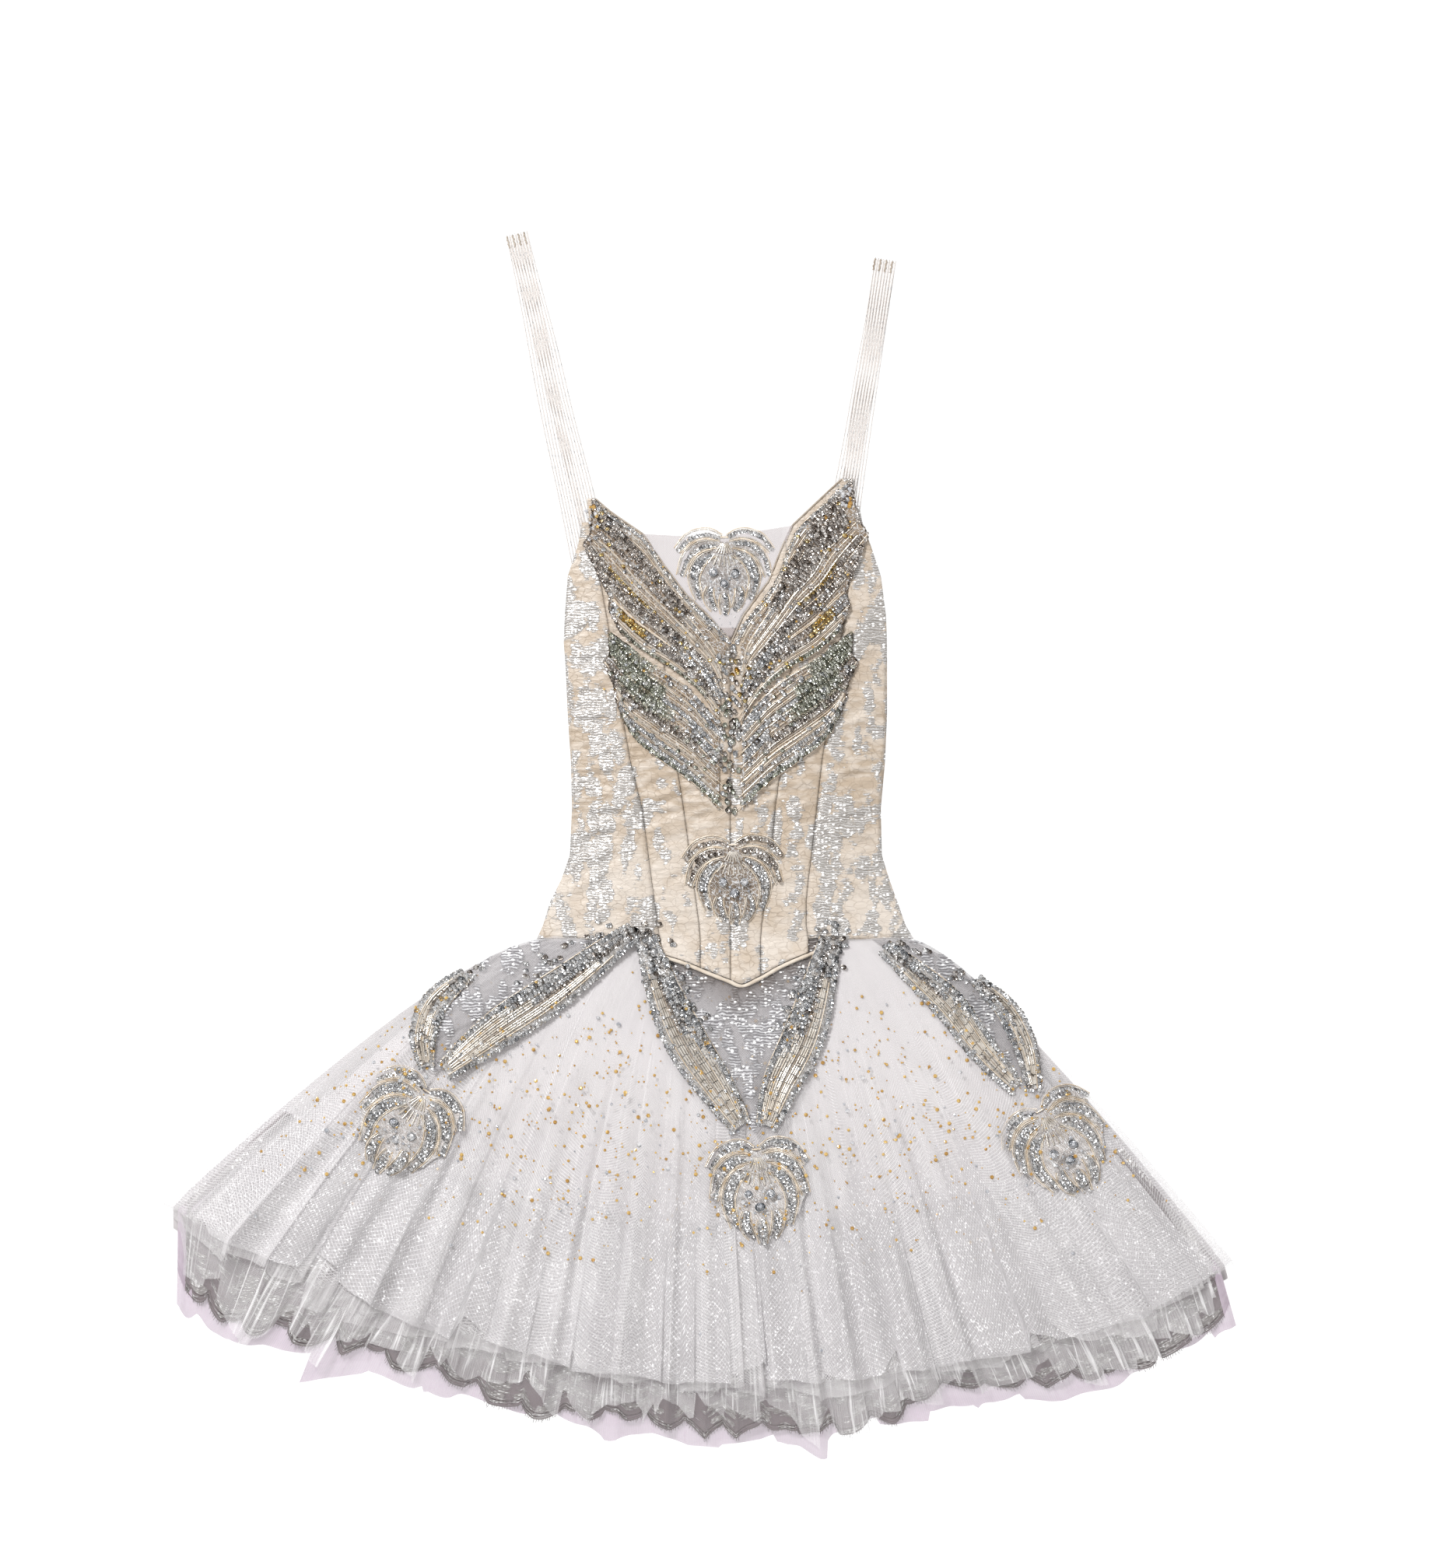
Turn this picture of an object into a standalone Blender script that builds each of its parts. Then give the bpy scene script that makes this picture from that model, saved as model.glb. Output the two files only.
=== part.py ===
"""A ballet tutu laid flat on its back, front up, built from the pieces it is cut and sewn from.

Frame: +Z up, +Y towards the straps, +X to the right as seen from above. The origin lies on the floor under
the middle of the waist. Left and right in the names are as seen from above.
Every size below is in millimetres, and put() turns millimetres into metres.
"""

import math
from collections import namedtuple

import bmesh
import bpy
import numpy as np
from mathutils import Vector
from mathutils.bvhtree import BVHTree

MM = 0.001

# Walls and gaps
SEAM_GAP = 0.3
LAY_GAP = 0.4  # between a piece and what it lies on
HEM_LOOSE = 0.6  # more than that at a hem
BACK_WALL = 2.5  # boned satin back
SKIRT_BACK_WALL = 1.5  # the back of the skirt, in several nets
FRONT_WALL = 2.4  # satin, interlining and lace
NET_WALL = 1.0
LACE_WALL = 1.0
STRAP_WALL = 1.2

# Bodice
CENTRE_SEAM = 3.0  # x of the centre-front seam
HIP_LINE = -118.0  # y where the bodice meets the skirt
V_BOTTOM = 168.0  # y of the foot of the neckline's V
FRONT_AIR = 9.0  # how far the boned front arches off the back
ARCH_REACH = 150.0  # half the width of that arch
PANEL_PILLOW = 0.6  # how far a panel swells between its seams
PANEL_SHARES = (0.0, 0.25, 0.5, 0.75, 1.0)
SEAM_END = 2.5  # width of a panel where it runs out between two edges
UNDERARM = 187.0
FOLD_TURN = 9.0  # width over which a side panel turns down at its fold
FOLD_WALL = 3.0  # its wall at the fold
BACK_INSET = 6.0  # from the side fold to the edge of the back

BodiceRow = namedtuple("BodiceRow", "y left_side left_outer left_inner right_inner right_outer right_side")
BODICE = [
    BodiceRow(*row)
    for row in (
        (-118, 184, 65, 26, 32, 78, 180),
        (-105, 178, 67, 27, 33, 76, 172),
        (-82, 171, 70, 30, 36, 76, 164),
        (-60, 160, 73, 33, 39, 78, 156),
        (-37, 152, 76, 36, 42, 81, 149),
        (8, 150, 82, 42, 46, 86, 148),
        (52, 151, 93, 49, 52, 91, 152),
        (97, 154, 101, 55, 57, 97, 154),
        (142, 156, 108, 60, 61, 105, 154),
        (168, 158, 112, 63, 62, 109, 154),
        (193, 157, 116, 66, 63, 113, 153),
        (232, 154, 123, 69, 60, 117, 148),
        (262, 144, 128, 69, 57, 119, 138),
        (284, 140, 133, 69, 57, 121, 130),
        (300, 139, 135, 69, 57, 122, 127),
    )
]

NeckPoint = namedtuple("NeckPoint", "y across")
LEFT_NECK = [
    NeckPoint(*p) for p in ((168, -3), (193, 17), (214, 39), (242, 60), (272, 80), (294, 112), (307, 127))
]
RIGHT_NECK = [
    NeckPoint(*p) for p in ((168, 3), (193, 14), (227, 39), (258, 51), (280, 61), (301, 83), (326, 110))
]

EdgePoint = namedtuple("EdgePoint", "x y")
POINT_EDGE = [
    EdgePoint(*p)
    for p in ((-66, -131), (-42, -138), (-20, -147), (3, -156), (13, -160), (26, -155), (50, -142), (88, -126))
]
INSERT_TOP = [EdgePoint(*p) for p in ((-80, 272), (-11, 270), (61, 280))]
BACK_TOP = [EdgePoint(*p) for p in ((-160, 183), (-100, 186), (-50, 166), (50, 166), (90, 186), (160, 183))]
CLOSING_EDGE = -12.0  # x where the left back meets the right back

# Straps: flat loops of elastic, sewn behind the strap points and to the top of the back
STRAP_WIDTH = 21.0
Strap = namedtuple("Strap", "name front fold back")
STRAPS = (
    Strap("strap_left", (-132.0, 282.0), (-203.0, 561.0), (-128.0, 186.0)),
    Strap("strap_right", (110.0, 300.0), (152.0, 536.0), (103.0, 186.0)),
)

# Skirt: one fan of pleats. s runs from -1 at the left edge to 1 at the right. r runs from 0 at the hip to 1
# at the hem of the top net, and on to 2 at the hem of the lowest frill.
PLEATS = 26
HIP_HALF_WIDTH = 182.0
HIP_MIDDLE = -2.0
FLARE_HALF_WIDTH = 259.0
FLARE_MIDDLE = -16.0
FLARE_DROP = 12.0
FLARE_SHARE = 0.12  # how much of the way to the hem the flare takes
HemPoint = namedtuple("HemPoint", "s x y low_x low_y")
HEMS = [
    HemPoint(*p)
    for p in (
        (-1.0, -546, -368, -541, -455),
        (-0.75, -398, -440, -446, -527),
        (-0.5, -258, -492, -278, -555),
        (-0.25, -126, -527, -134, -600),
        (0.0, -5, -541, -5, -604),
        (0.25, 108, -538, 118, -610),
        (0.5, 225, -520, 242, -562),
        (0.75, 358, -488, 385, -553),
        (1.0, 489, -426, 503, -478),
    )
]
SIDE_TAPER = 0.14  # share of the fan over which the pile sinks to its edge
PileRow = namedtuple("PileRow", "r height")
INNER_PILE = [
    PileRow(*p)
    for p in (
        (0.0, 2.0),
        (0.07, 5.5),
        (0.16, 11.0),
        (0.30, 19.0),
        (0.45, 25.0),
        (0.66, 29.0),
        (0.90, 24.0),
        (1.0, 16.0),
        (1.3, 6.0),
        (2.0, 1.5),
        (2.6, 1.0),
    )
]
INNER_ROWS = (0.0, 0.07, 0.16, 0.30, 0.45, 0.66, 0.90)
LOWER_ROWS = (0.45, 0.66, 0.90)
TOP_ROWS = (0.0, 0.07, 0.16, 0.30, 0.45, 0.66, 0.90)
Layer = namedtuple("Layer", "name first last rows hem ragged lift finish")
LAYERS = (
    Layer("net_frill", 1, 51, (*LOWER_ROWS, 1.0), 1.93, 0.28, 5.0, "stiff_net"),
    Layer("lace_frill", 1, 51, (*LOWER_ROWS, 1.0), 1.62, 0.16, 4.0, "silver_lace"),
    Layer("soft_frill", 1, 51, (*LOWER_ROWS, 1.0), 1.42, 0.26, 5.0, "soft_net"),
    Layer("glitter_net", 0, 52, LOWER_ROWS, 1.0, 0.014, 3.0, "glitter_net"),
    Layer("top_net", 0, 52, TOP_ROWS, 0.985, 0.01, 2.0, "soft_net"),
)

# Hip lace: the silver lace points, as the fan's r down to which each reaches at each s
LacePoint = namedtuple("LacePoint", "s reach")
HIP_LACES = {
    "hip_lace_left": [
        LacePoint(*p) for p in ((-0.985, 0.20), (-0.93, 0.34), (-0.87, 0.40), (-0.72, 0.19), (-0.52, 0.03))
    ],
    "hip_lace_centre": [
        LacePoint(*p)
        for p in (
            (-0.42, 0.04),
            (-0.28, 0.24),
            (-0.10, 0.33),
            (0.05, 0.41),
            (0.18, 0.33),
            (0.36, 0.24),
            (0.50, 0.04),
        )
    ],
    "hip_lace_right": [
        LacePoint(*p) for p in ((0.70, 0.03), (0.82, 0.20), (0.90, 0.37), (0.95, 0.34), (0.985, 0.20))
    ],
}

# Sprays of beaded feathers. Each is a list of ribs from the centre seam outwards, as x, y for the left side:
# the edge of a feather, its vein, the edge that it shares with the next, and so on. The upper spray's top rib
# isn't listed, as it runs along the neckline. On the right they are mirrored about the centre seam, and lifted
# to that side's neckline.
SPRAY_UPPER = (
    ((-6, 140), (-22, 172), (-46, 202), (-72, 232), (-98, 262), (-129, 289)),
    ((-6, 124), (-20, 156), (-50, 190), (-82, 222), (-108, 252), (-131, 272)),
    ((-7, 112), (-22, 145), (-56, 178), (-88, 205), (-116, 232), (-137, 262)),
    ((-8, 104), (-24, 136), (-56, 164), (-88, 188), (-112, 210)),
    ((-8, 97), (-26, 128), (-54, 152), (-84, 172), (-113, 199)),
    ((-8, 90), (-26, 120), (-52, 142), (-82, 160), (-102, 178)),
)
SPRAY_LOWER = (
    ((-8, 84), (-26, 112), (-50, 133), (-78, 150), (-98, 165)),
    ((-8, 72), (-30, 102), (-58, 124), (-86, 144), (-113, 176)),
    ((-8, 58), (-34, 88), (-64, 111), (-92, 132), (-112, 156)),
    ((-8, 44), (-36, 76), (-70, 100), (-98, 122), (-118, 149)),
    ((-8, 30), (-34, 58), (-68, 82), (-96, 104), (-108, 126)),
    ((-8, 18), (-32, 44), (-62, 66), (-90, 88), (-107, 115)),
    ((-8, 6), (-30, 30), (-58, 50), (-86, 72), (-100, 96)),
)
NECK_INSET = EdgePoint(3.5, 5.0)  # from the neckline to the top rib
RIB_STATIONS = 9
RIB_HEIGHTS = (1.2, 2.6, 1.7, 2.6)  # edge, cord, vein, cord

# Beaded bands on the skirt, each a run of points from its lower tip to its upper one, and its greatest width
Leaf = namedtuple("Leaf", "name width path")
LEAF_HEIGHTS = (1.0, 2.6, 1.6, 2.6, 1.0)  # across the leaf: edge, cord, vein, cord, edge
LEAF_SHARES = (-0.5, -0.26, 0.0, 0.26, 0.5)
LEAF_STATIONS = 9
LEAF_BLUNTNESS = 0.3  # width of its ends, as a share of the whole
SKIRT_BANDS = (
    Leaf("band_left_outer", 25.0, ((-288, -238), (-291, -208), (-280, -178), (-252, -152))),
    Leaf("band_left_inner", 38.0, ((-270, -242), (-222, -205), (-164, -166), (-92, -110))),
    Leaf("band_centre_left", 38.0, ((13, -295), (-10, -260), (-38, -218), (-58, -176), (-78, -118))),
    Leaf("band_centre_right", 38.0, ((37, -295), (50, -258), (70, -218), (84, -176), (98, -118))),
    Leaf("band_right_inner", 28.0, ((276, -258), (244, -222), (214, -182), (187, -156), (152, -126))),
    Leaf("band_right_outer", 20.0, ((293, -260), (287, -224), (270, -188), (240, -158))),
)

# Palmettes: a round bud of petals under a knot. turn is degrees from straight down, and size is the length.
Palmette = namedtuple("Palmette", "name knot turn size")
PALMETTES = (
    Palmette("palmette_neck", (-3.0, 264.0), 0.0, 66.0),
    Palmette("palmette_belly", (5.0, -29.0), 2.0, 70.0),
    Palmette("palmette_left", (-289.0, -264.0), -32.0, 82.0),
    Palmette("palmette_centre", (28.0, -320.0), 4.0, 82.0),
    Palmette("palmette_right", (300.0, -283.0), 31.0, 82.0),
)
BUD_MIDDLE = 0.5  # how far below the knot the petals have their common middle, as a share of the size
Petal = namedtuple("Petal", "angle reach raised")
HALF_PALMETTE = [  # from straight down round to the knot, as shares of the size
    Petal(*p)
    for p in (
        (0, 0.50, True),
        (13, 0.44, False),
        (28, 0.49, True),
        (42, 0.43, False),
        (60, 0.50, True),
        (78, 0.50, False),
        (94, 0.58, True),
        (104, 0.52, False),
        (121, 0.61, True),
        (137, 0.70, True),
        (146, 0.62, False),
        (162, 0.58, True),
        (180, 0.50, True),
    )
]
PETAL_RINGS = (0.35, 0.78, 1.0)
RAISED_HEIGHTS = (2.8, 2.8, 1.0)
VALLEY_HEIGHTS = (2.0, 1.2, 1.0)

BINDING_RADIUS = 1.8
BINDING_SIDES = 6
BINDING_GAP = 0.8

Finish = namedtuple("Finish", "colour roughness metallic")
FINISHES = {
    "brocade": Finish((0.83, 0.77, 0.69), 0.55, 0.25),
    "satin": Finish((0.86, 0.80, 0.73), 0.40, 0.0),
    "soft_net": Finish((0.88, 0.88, 0.91), 0.80, 0.0),
    "glitter_net": Finish((0.82, 0.82, 0.85), 0.60, 0.2),
    "stiff_net": Finish((0.86, 0.83, 0.87), 0.85, 0.0),
    "silver_lace": Finish((0.58, 0.58, 0.60), 0.55, 0.5),
    "beading": Finish((0.68, 0.66, 0.62), 0.35, 0.7),
    "elastic": Finish((0.90, 0.87, 0.84), 0.45, 0.0),
}

SAMPLES = [(i / 6, j / 6, (6 - i - j) / 6) for i in range(7) for j in range(7 - i)]  # places in a triangle
SETTLE_ROUNDS = 4
FEEL = 1.6  # how far round each of those places the pile is felt


class Pile:
    """What has been laid so far, seen from above."""

    def __init__(self):
        self.points, self.faces, self.tree = [], [], None

    def add(self, points, faces):
        first = len(self.points)
        self.points += [Vector(p) for p in points]
        self.faces += [[first + i for i in face] for face in faces]

    def look(self):
        """Takes the pile as it now is. What is laid after this isn't felt until the next look."""
        self.tree = BVHTree.FromPolygons(self.points, self.faces)

    def top(self, x, y):
        """The highest point within feel of x, y, or None where nothing lies there."""
        found = []
        for dx, dy in ((0, 0), (FEEL, 0), (-FEEL, 0), (0, FEEL), (0, -FEEL)):
            hit = self.tree.ray_cast(Vector((x + dx, y + dy, 500.0)), Vector((0, 0, -1)))[0]
            if hit is not None:
                found.append(hit.z)
        return max(found) if found else None


pile = Pile()


def clear_scene():
    for obj in list(bpy.data.objects):
        bpy.data.objects.remove(obj)


def material(name):
    """The Principled material of one finish, made the first time it is asked for."""
    found = bpy.data.materials.get(name)
    if found:
        return found
    finish = FINISHES[name]
    made = bpy.data.materials.new(name)
    made.use_nodes = True
    shader = made.node_tree.nodes["Principled BSDF"]
    shader.inputs["Base Color"].default_value = (*finish.colour, 1.0)
    shader.inputs["Roughness"].default_value = finish.roughness
    shader.inputs["Metallic"].default_value = finish.metallic
    return made


def put(name, points, faces, finish):
    """Makes one closed object from points in millimetres, and adds it to the pile."""
    bm = bmesh.new()
    verts = [bm.verts.new(Vector(p) * MM) for p in points]
    for face in faces:
        bm.faces.new([verts[i] for i in face])
    bmesh.ops.recalc_face_normals(bm, faces=bm.faces)
    mesh = bpy.data.meshes.new(name)
    bm.to_mesh(mesh)
    bm.free()
    mesh.materials.append(material(finish))
    obj = bpy.data.objects.new(name, mesh)
    bpy.context.scene.collection.objects.link(obj)
    pile.add(points, faces)
    return obj


def grid_triangles(rows, columns, first=0):
    """The triangles of a grid of points that is listed row by row."""
    faces = []
    for i in range(rows - 1):
        for j in range(columns - 1):
            a = first + i * columns + j
            b, c, d = a + 1, a + columns + 1, a + columns
            faces += [(a, b, c), (a, c, d)]
    return faces


def wall(name, under, over, finish):
    """One closed wall of cloth. under and over are its two sides, as grids of points, row by row."""
    rows, columns = len(over), len(over[0])
    points = [p for grid in (under, over) for row in grid for p in row]
    faces = grid_triangles(rows, columns) + grid_triangles(rows, columns, rows * columns)
    rim = [(0, j) for j in range(columns)]
    rim += [(i, columns - 1) for i in range(1, rows)]
    rim += [(rows - 1, j) for j in range(columns - 2, -1, -1)]
    rim += [(i, 0) for i in range(rows - 2, 0, -1)]
    for (i, j), (k, l) in zip(rim, rim[1:] + rim[:1]):
        a, b = i * columns + j, k * columns + l
        c, d = b + rows * columns, a + rows * columns
        faces += [(a, b, c), (a, c, d)]
    return put(name, points, faces, finish)


def settle(flat, triangles, lowest):
    """Heights for the points of a piece's underside. None is below its lowest(x, y), and between them the
    underside is clear of the pile."""
    tops = [pile.top(x, y) for x, y in flat]
    found = [top + LAY_GAP for top in tops if top is not None]
    stiff = min(found) if len(found) > len(flat) / 2 else 0.0  # a plate doesn't drop where it sticks out
    heights = [max(lowest(x, y), stiff if top is None else top + LAY_GAP) for (x, y), top in zip(flat, tops)]
    needs = []
    for corners in triangles:
        for weights in SAMPLES:
            x = sum(w * flat[i][0] for w, i in zip(weights, corners))
            y = sum(w * flat[i][1] for w, i in zip(weights, corners))
            top = pile.top(x, y)
            if top is not None:
                needs.append((corners, weights, top + LAY_GAP))
    for _ in range(SETTLE_ROUNDS):
        for corners, weights, need in needs:
            short = need - sum(w * heights[i] for w, i in zip(weights, corners))
            if short > 0:
                reach = sum(w * w for w in weights)
                for w, i in zip(weights, corners):
                    heights[i] += short * w / reach
    return heights


def settle_grid(grid, lowest):
    """The underside of a piece laid on the pile, from the rows of its x, y."""
    flat = [p for row in grid for p in row]
    heights = settle(flat, grid_triangles(len(grid), len(grid[0])), lowest)
    columns = len(grid[0])
    return [
        [(x, y, heights[i * columns + j]) for j, (x, y) in enumerate(row)] for i, row in enumerate(grid)
    ]


def raised(under, height):
    """The outer side over an underside. height is a number, or a function of the row and column."""
    pick = height if callable(height) else lambda i, j: height
    return [[(x, y, z + pick(i, j)) for j, (x, y, z) in enumerate(row)] for i, row in enumerate(under)]


def read(table, key, value, at):
    """One column of a table, read straight between its rows at a value of the key column."""
    return float(np.interp(at, [getattr(row, key) for row in table], [getattr(row, value) for row in table]))


def eased(table, key, value, at):
    """One column of a table, read along a smooth curve through its rows."""
    keys = [getattr(row, key) for row in table]
    values = [getattr(row, value) for row in table]
    i = int(np.clip(np.searchsorted(keys, at) - 1, 0, len(keys) - 2))
    slopes = np.gradient(values, keys)
    step = keys[i + 1] - keys[i]
    t = (at - keys[i]) / step
    near = (1 + 2 * t) * (1 - t) ** 2 * values[i] + t * (1 - t) ** 2 * step * slopes[i]
    far = t**2 * (3 - 2 * t) * values[i + 1] + t**2 * (t - 1) * step * slopes[i + 1]
    return near + far


def smoothstep(t):
    t = min(1.0, max(0.0, t))
    return t * t * (3 - 2 * t)


def curve_through(points, count):
    """Points along a smooth curve through the given ones, count of them."""
    points = np.array(points, float)
    padded = np.vstack([2 * points[0] - points[1], points, 2 * points[-1] - points[-2]])
    made = []
    for at in np.linspace(0, len(points) - 1, count):
        i = min(int(at), len(points) - 2)
        t = at - i
        a, b, c, d = padded[i : i + 4]
        made.append(
            0.5 * (2 * b + (c - a) * t + (2 * a - 5 * b + 4 * c - d) * t**2 + (3 * b - a - 3 * c + d) * t**3)
        )
    return np.array(made)


# --- Skirt --------------------------------------------------------------------------------------------------


def across(column):
    """s of a fold line of the pleats: even ones are valleys and odd ones crests, unevenly spaced."""
    even = 2 * column / (2 * PLEATS) - 1
    uneven = 0.32 / PLEATS * math.sin(2.3 * column) if 0 < column < 2 * PLEATS else 0.0
    return even + uneven


def fan(s, r):
    """Where the point s, r of the fan lies on the floor."""
    start = np.array([HIP_MIDDLE + HIP_HALF_WIDTH * s, HIP_LINE - SEAM_GAP])
    flare = np.array([FLARE_MIDDLE + FLARE_HALF_WIDTH * s, HIP_LINE - FLARE_DROP * (2 - s * s)])
    hem = np.array([eased(HEMS, "s", "x", s), eased(HEMS, "s", "y", s)])
    if r > 1:
        low = np.array([eased(HEMS, "s", "low_x", s), eased(HEMS, "s", "low_y", s)])
        return hem + (low - hem) * (r - 1)
    k = FLARE_SHARE
    f = (math.sqrt(k * k + (1 - 2 * k) * r) - k) / (1 - 2 * k)
    return start * (1 - f) ** 2 + flare * 2 * f * (1 - f) + hem * f * f


def edge_taper(s):
    return smoothstep((1 - abs(s)) / SIDE_TAPER)


def inner_height(column, r):
    """How high the inner frills stand under a fold line. Past their hem the cloth above slopes down so."""
    return 0.5 + (read(INNER_PILE, "r", "height", r) - 0.5) * edge_taper(across(column))


def hem_of(layer, column, index):
    """r of a layer's hem at a fold line: longer at the crests, and ragged."""
    wave = math.sin(1.7 * column + 2.1 * index) + 0.6 * math.sin(0.61 * column + index)
    return layer.hem + layer.ragged * (wave / 1.6 + 0.4 * (column % 2))


def lift_of(layer, column, r, index):
    """How far a layer's pleat stands off the layer below it: nothing in the valleys, most at the hem."""
    if column % 2 == 0:
        return 0.0
    fullness = 0.62 + 0.38 * math.sin(1.9 * column + 1.3 * index)
    return layer.lift * fullness * min(1.0, max(0.0, r - 0.15) / 0.85) ** 1.2 * edge_taper(across(column))


def make_skirt_back():
    """The back of the skirt, flat on the floor. Gives the height of its upper side."""
    columns = range(1, 2 * PLEATS)
    rows = [[(*fan(across(j), r), 0.0) for j in columns] for r in (0.0, 0.5, 1.0)]
    rows.append([(*fan(across(j), 1.22 + 0.10 * math.sin(1.3 * j)), 0.0) for j in columns])
    wall("skirt_back", rows, raised(rows, SKIRT_BACK_WALL), "stiff_net")
    return SKIRT_BACK_WALL


def make_inner_frills(floor):
    """The inner frills and the briefs that they are sewn to, hidden by the skirt, as one rounded heap."""
    columns = range(2, 2 * PLEATS - 1)
    under = [[(*fan(across(j), r), floor + SEAM_GAP) for j in columns] for r in INNER_ROWS]
    over = raised(under, lambda i, j: inner_height(columns[j], INNER_ROWS[i]))
    wall("inner_frills", under, over, "stiff_net")


def make_layers(floor):
    """The layers that show, from the lowest frill to the top net. Each lies on the ones below."""
    tops = []  # for each layer made, its rows and the heights of its upper side, by fold line

    def rest(column, r):
        height = floor + SEAM_GAP + inner_height(column, r)
        for top in tops:
            if column in top and r >= top[column][0][0] - 1e-6:
                height = max(height, float(np.interp(r, *top[column])))
        return height + LAY_GAP

    for index, layer in enumerate(LAYERS):
        columns = range(layer.first, layer.last + 1)
        made = {}
        for j in columns:
            line = [*layer.rows, hem_of(layer, j, index)]
            heights = [rest(j, r) + lift_of(layer, j, r, index) + NET_WALL for r in line]
            heights[-1] += HEM_LOOSE
            made[j] = (line, heights)
        under = [
            [(*fan(across(j), made[j][0][i]), made[j][1][i] - NET_WALL) for j in columns]
            for i in range(len(layer.rows) + 1)
        ]
        wall(layer.name, under, raised(under, NET_WALL), layer.finish)
        tops.append(made)


def make_hip_laces():
    """The silver lace points over the hips and the front, laid on the top net."""
    for name, table in HIP_LACES.items():
        columns = np.linspace(table[0].s, table[-1].s, 4 * len(table) - 3)
        rows = [
            [tuple(fan(s, read(table, "s", "reach", s) * share)) for s in columns]
            for share in (0.03, 0.3, 0.65, 1.0)
        ]
        under = settle_grid(rows, lambda x, y: 0.0)
        wall(name, under, raised(under, LACE_WALL), "silver_lace")


# --- Bodice -------------------------------------------------------------------------------------------------


def arch(x, y):
    """Height of the underside of the bodice's front over the back, which it arches off."""
    along = 1 - 0.75 * smoothstep((y - 170) / 120) - 0.45 * smoothstep((-40 - y) / 80)
    return BACK_WALL + SEAM_GAP + FRONT_AIR * max(0.0, 1 - (x / ARCH_REACH) ** 2) * along


def make_backs():
    """The two halves of the back, flat on the floor, which meet at the closing edge."""
    ys = [row.y for row in BODICE if row.y < 160]
    for name, side, column in (("back_left", -1, "left_side"), ("back_right", 1, "right_side")):
        near = CLOSING_EDGE + side * SEAM_GAP / 2

        def line(y):
            far = side * (read(BODICE, "y", column, y) - BACK_INSET)
            return [near + (far - near) * share for share in np.linspace(0, 1, 7)]

        under = [[(x, y, 0.0) for x in line(y)] for y in ys]
        under.append([(x, read(BACK_TOP, "x", "y", x) - SEAM_GAP, 0.0) for x in line(UNDERARM)])
        wall(name, under, raised(under, BACK_WALL), "satin")


def panel(name, rows, inner, outer):
    """A front panel between two seams, whose x at a height y are inner(y) and outer(y). Its foot runs on below
    the lowest row to the pointed edge, and its wall is thickest halfway between the seams."""

    def spread(y):
        return [inner(y) + (outer(y) - inner(y)) * share for share in PANEL_SHARES]

    grid = [[(x, read(POINT_EDGE, "x", "y", x)) for x in spread(rows[0])]]
    grid += [[(x, y) for x in spread(y)] for y in rows]
    under = settle_grid(grid, arch)
    pillow = [FRONT_WALL + PANEL_PILLOW * math.sin(math.pi * share) for share in PANEL_SHARES]
    wall(name, under, raised(under, lambda i, j: pillow[j]), "brocade")


def make_fronts():
    """Four panels of the pointed front: two beside the centre seam, and two that run to the strap points."""
    half = SEAM_GAP / 2
    for side, word, neck in ((-1, "left", LEFT_NECK), (1, "right", RIGHT_NECK)):

        def neckline(y):
            return side * (read(neck, "y", "across", y) + half)

        def inner_seam(y, to):
            return side * (read(BODICE, "y", f"{word}_inner", y) + to * half)

        def outer_seam(y):
            return side * (read(BODICE, "y", f"{word}_outer", y) - half)

        # the neckline reaches the inner seam at the height meet, less the width of a seam's end
        heights = np.arange(V_BOTTOM, neck[-1].y, 0.5)
        meet = next(y for y in heights if abs(neckline(y)) > abs(inner_seam(y, -1)) - SEAM_END)
        knots = sorted({row.y for row in BODICE} | {p.y for p in neck} | {meet})
        panel(
            f"centre_front_{word}",
            [y for y in knots if y <= meet],
            lambda y: neckline(max(y, V_BOTTOM)),
            lambda y: inner_seam(y, -1),
        )
        panel(
            f"front_{word}",
            [y for y in knots if y <= neck[-1].y],
            lambda y: inner_seam(y, 1) if y <= meet else neckline(y),
            outer_seam,
        )


def make_sides():
    """The side panels, which turn down to the floor at the side folds below the underarm."""
    for side, word, top in ((-1, "left", 284.0), (1, "right", 300.0)):
        under, over = [], []
        for y in (row.y for row in BODICE if row.y <= top):
            fold = side * read(BODICE, "y", f"{word}_side", y)
            inner = side * (read(BODICE, "y", f"{word}_outer", y) + SEAM_GAP / 2)
            turn = min(FOLD_TURN, abs(fold - inner) * 0.5)
            down = 1 - smoothstep((y - 150) / 30)
            low, high = [], []
            for share in (0.0, 0.35, 0.7, 1.0):
                x = inner + (fold - side * turn - inner) * share
                z = max(arch(x, y), BACK_WALL + SEAM_GAP)
                low.append((x, y, z))
                high.append((x, y, z + FRONT_WALL + PANEL_PILLOW * math.sin(math.pi * share * 0.9)))
            rest, skin = low[-1][2], high[-1][2]
            wall_share = FOLD_WALL / FOLD_TURN
            low.append((fold - side * turn * BACK_INSET * 0.84 / FOLD_TURN, y, rest))
            low.append((fold - side * turn * wall_share, y, rest * (1 - down)))
            high.append((fold - side * turn * 0.3, y, skin - 0.8))
            high.append((fold, y, (rest + 0.8) * (1 - down)))
            under.append(low)
            over.append(high)
        wall(f"side_{word}", under, over, "brocade")


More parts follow.
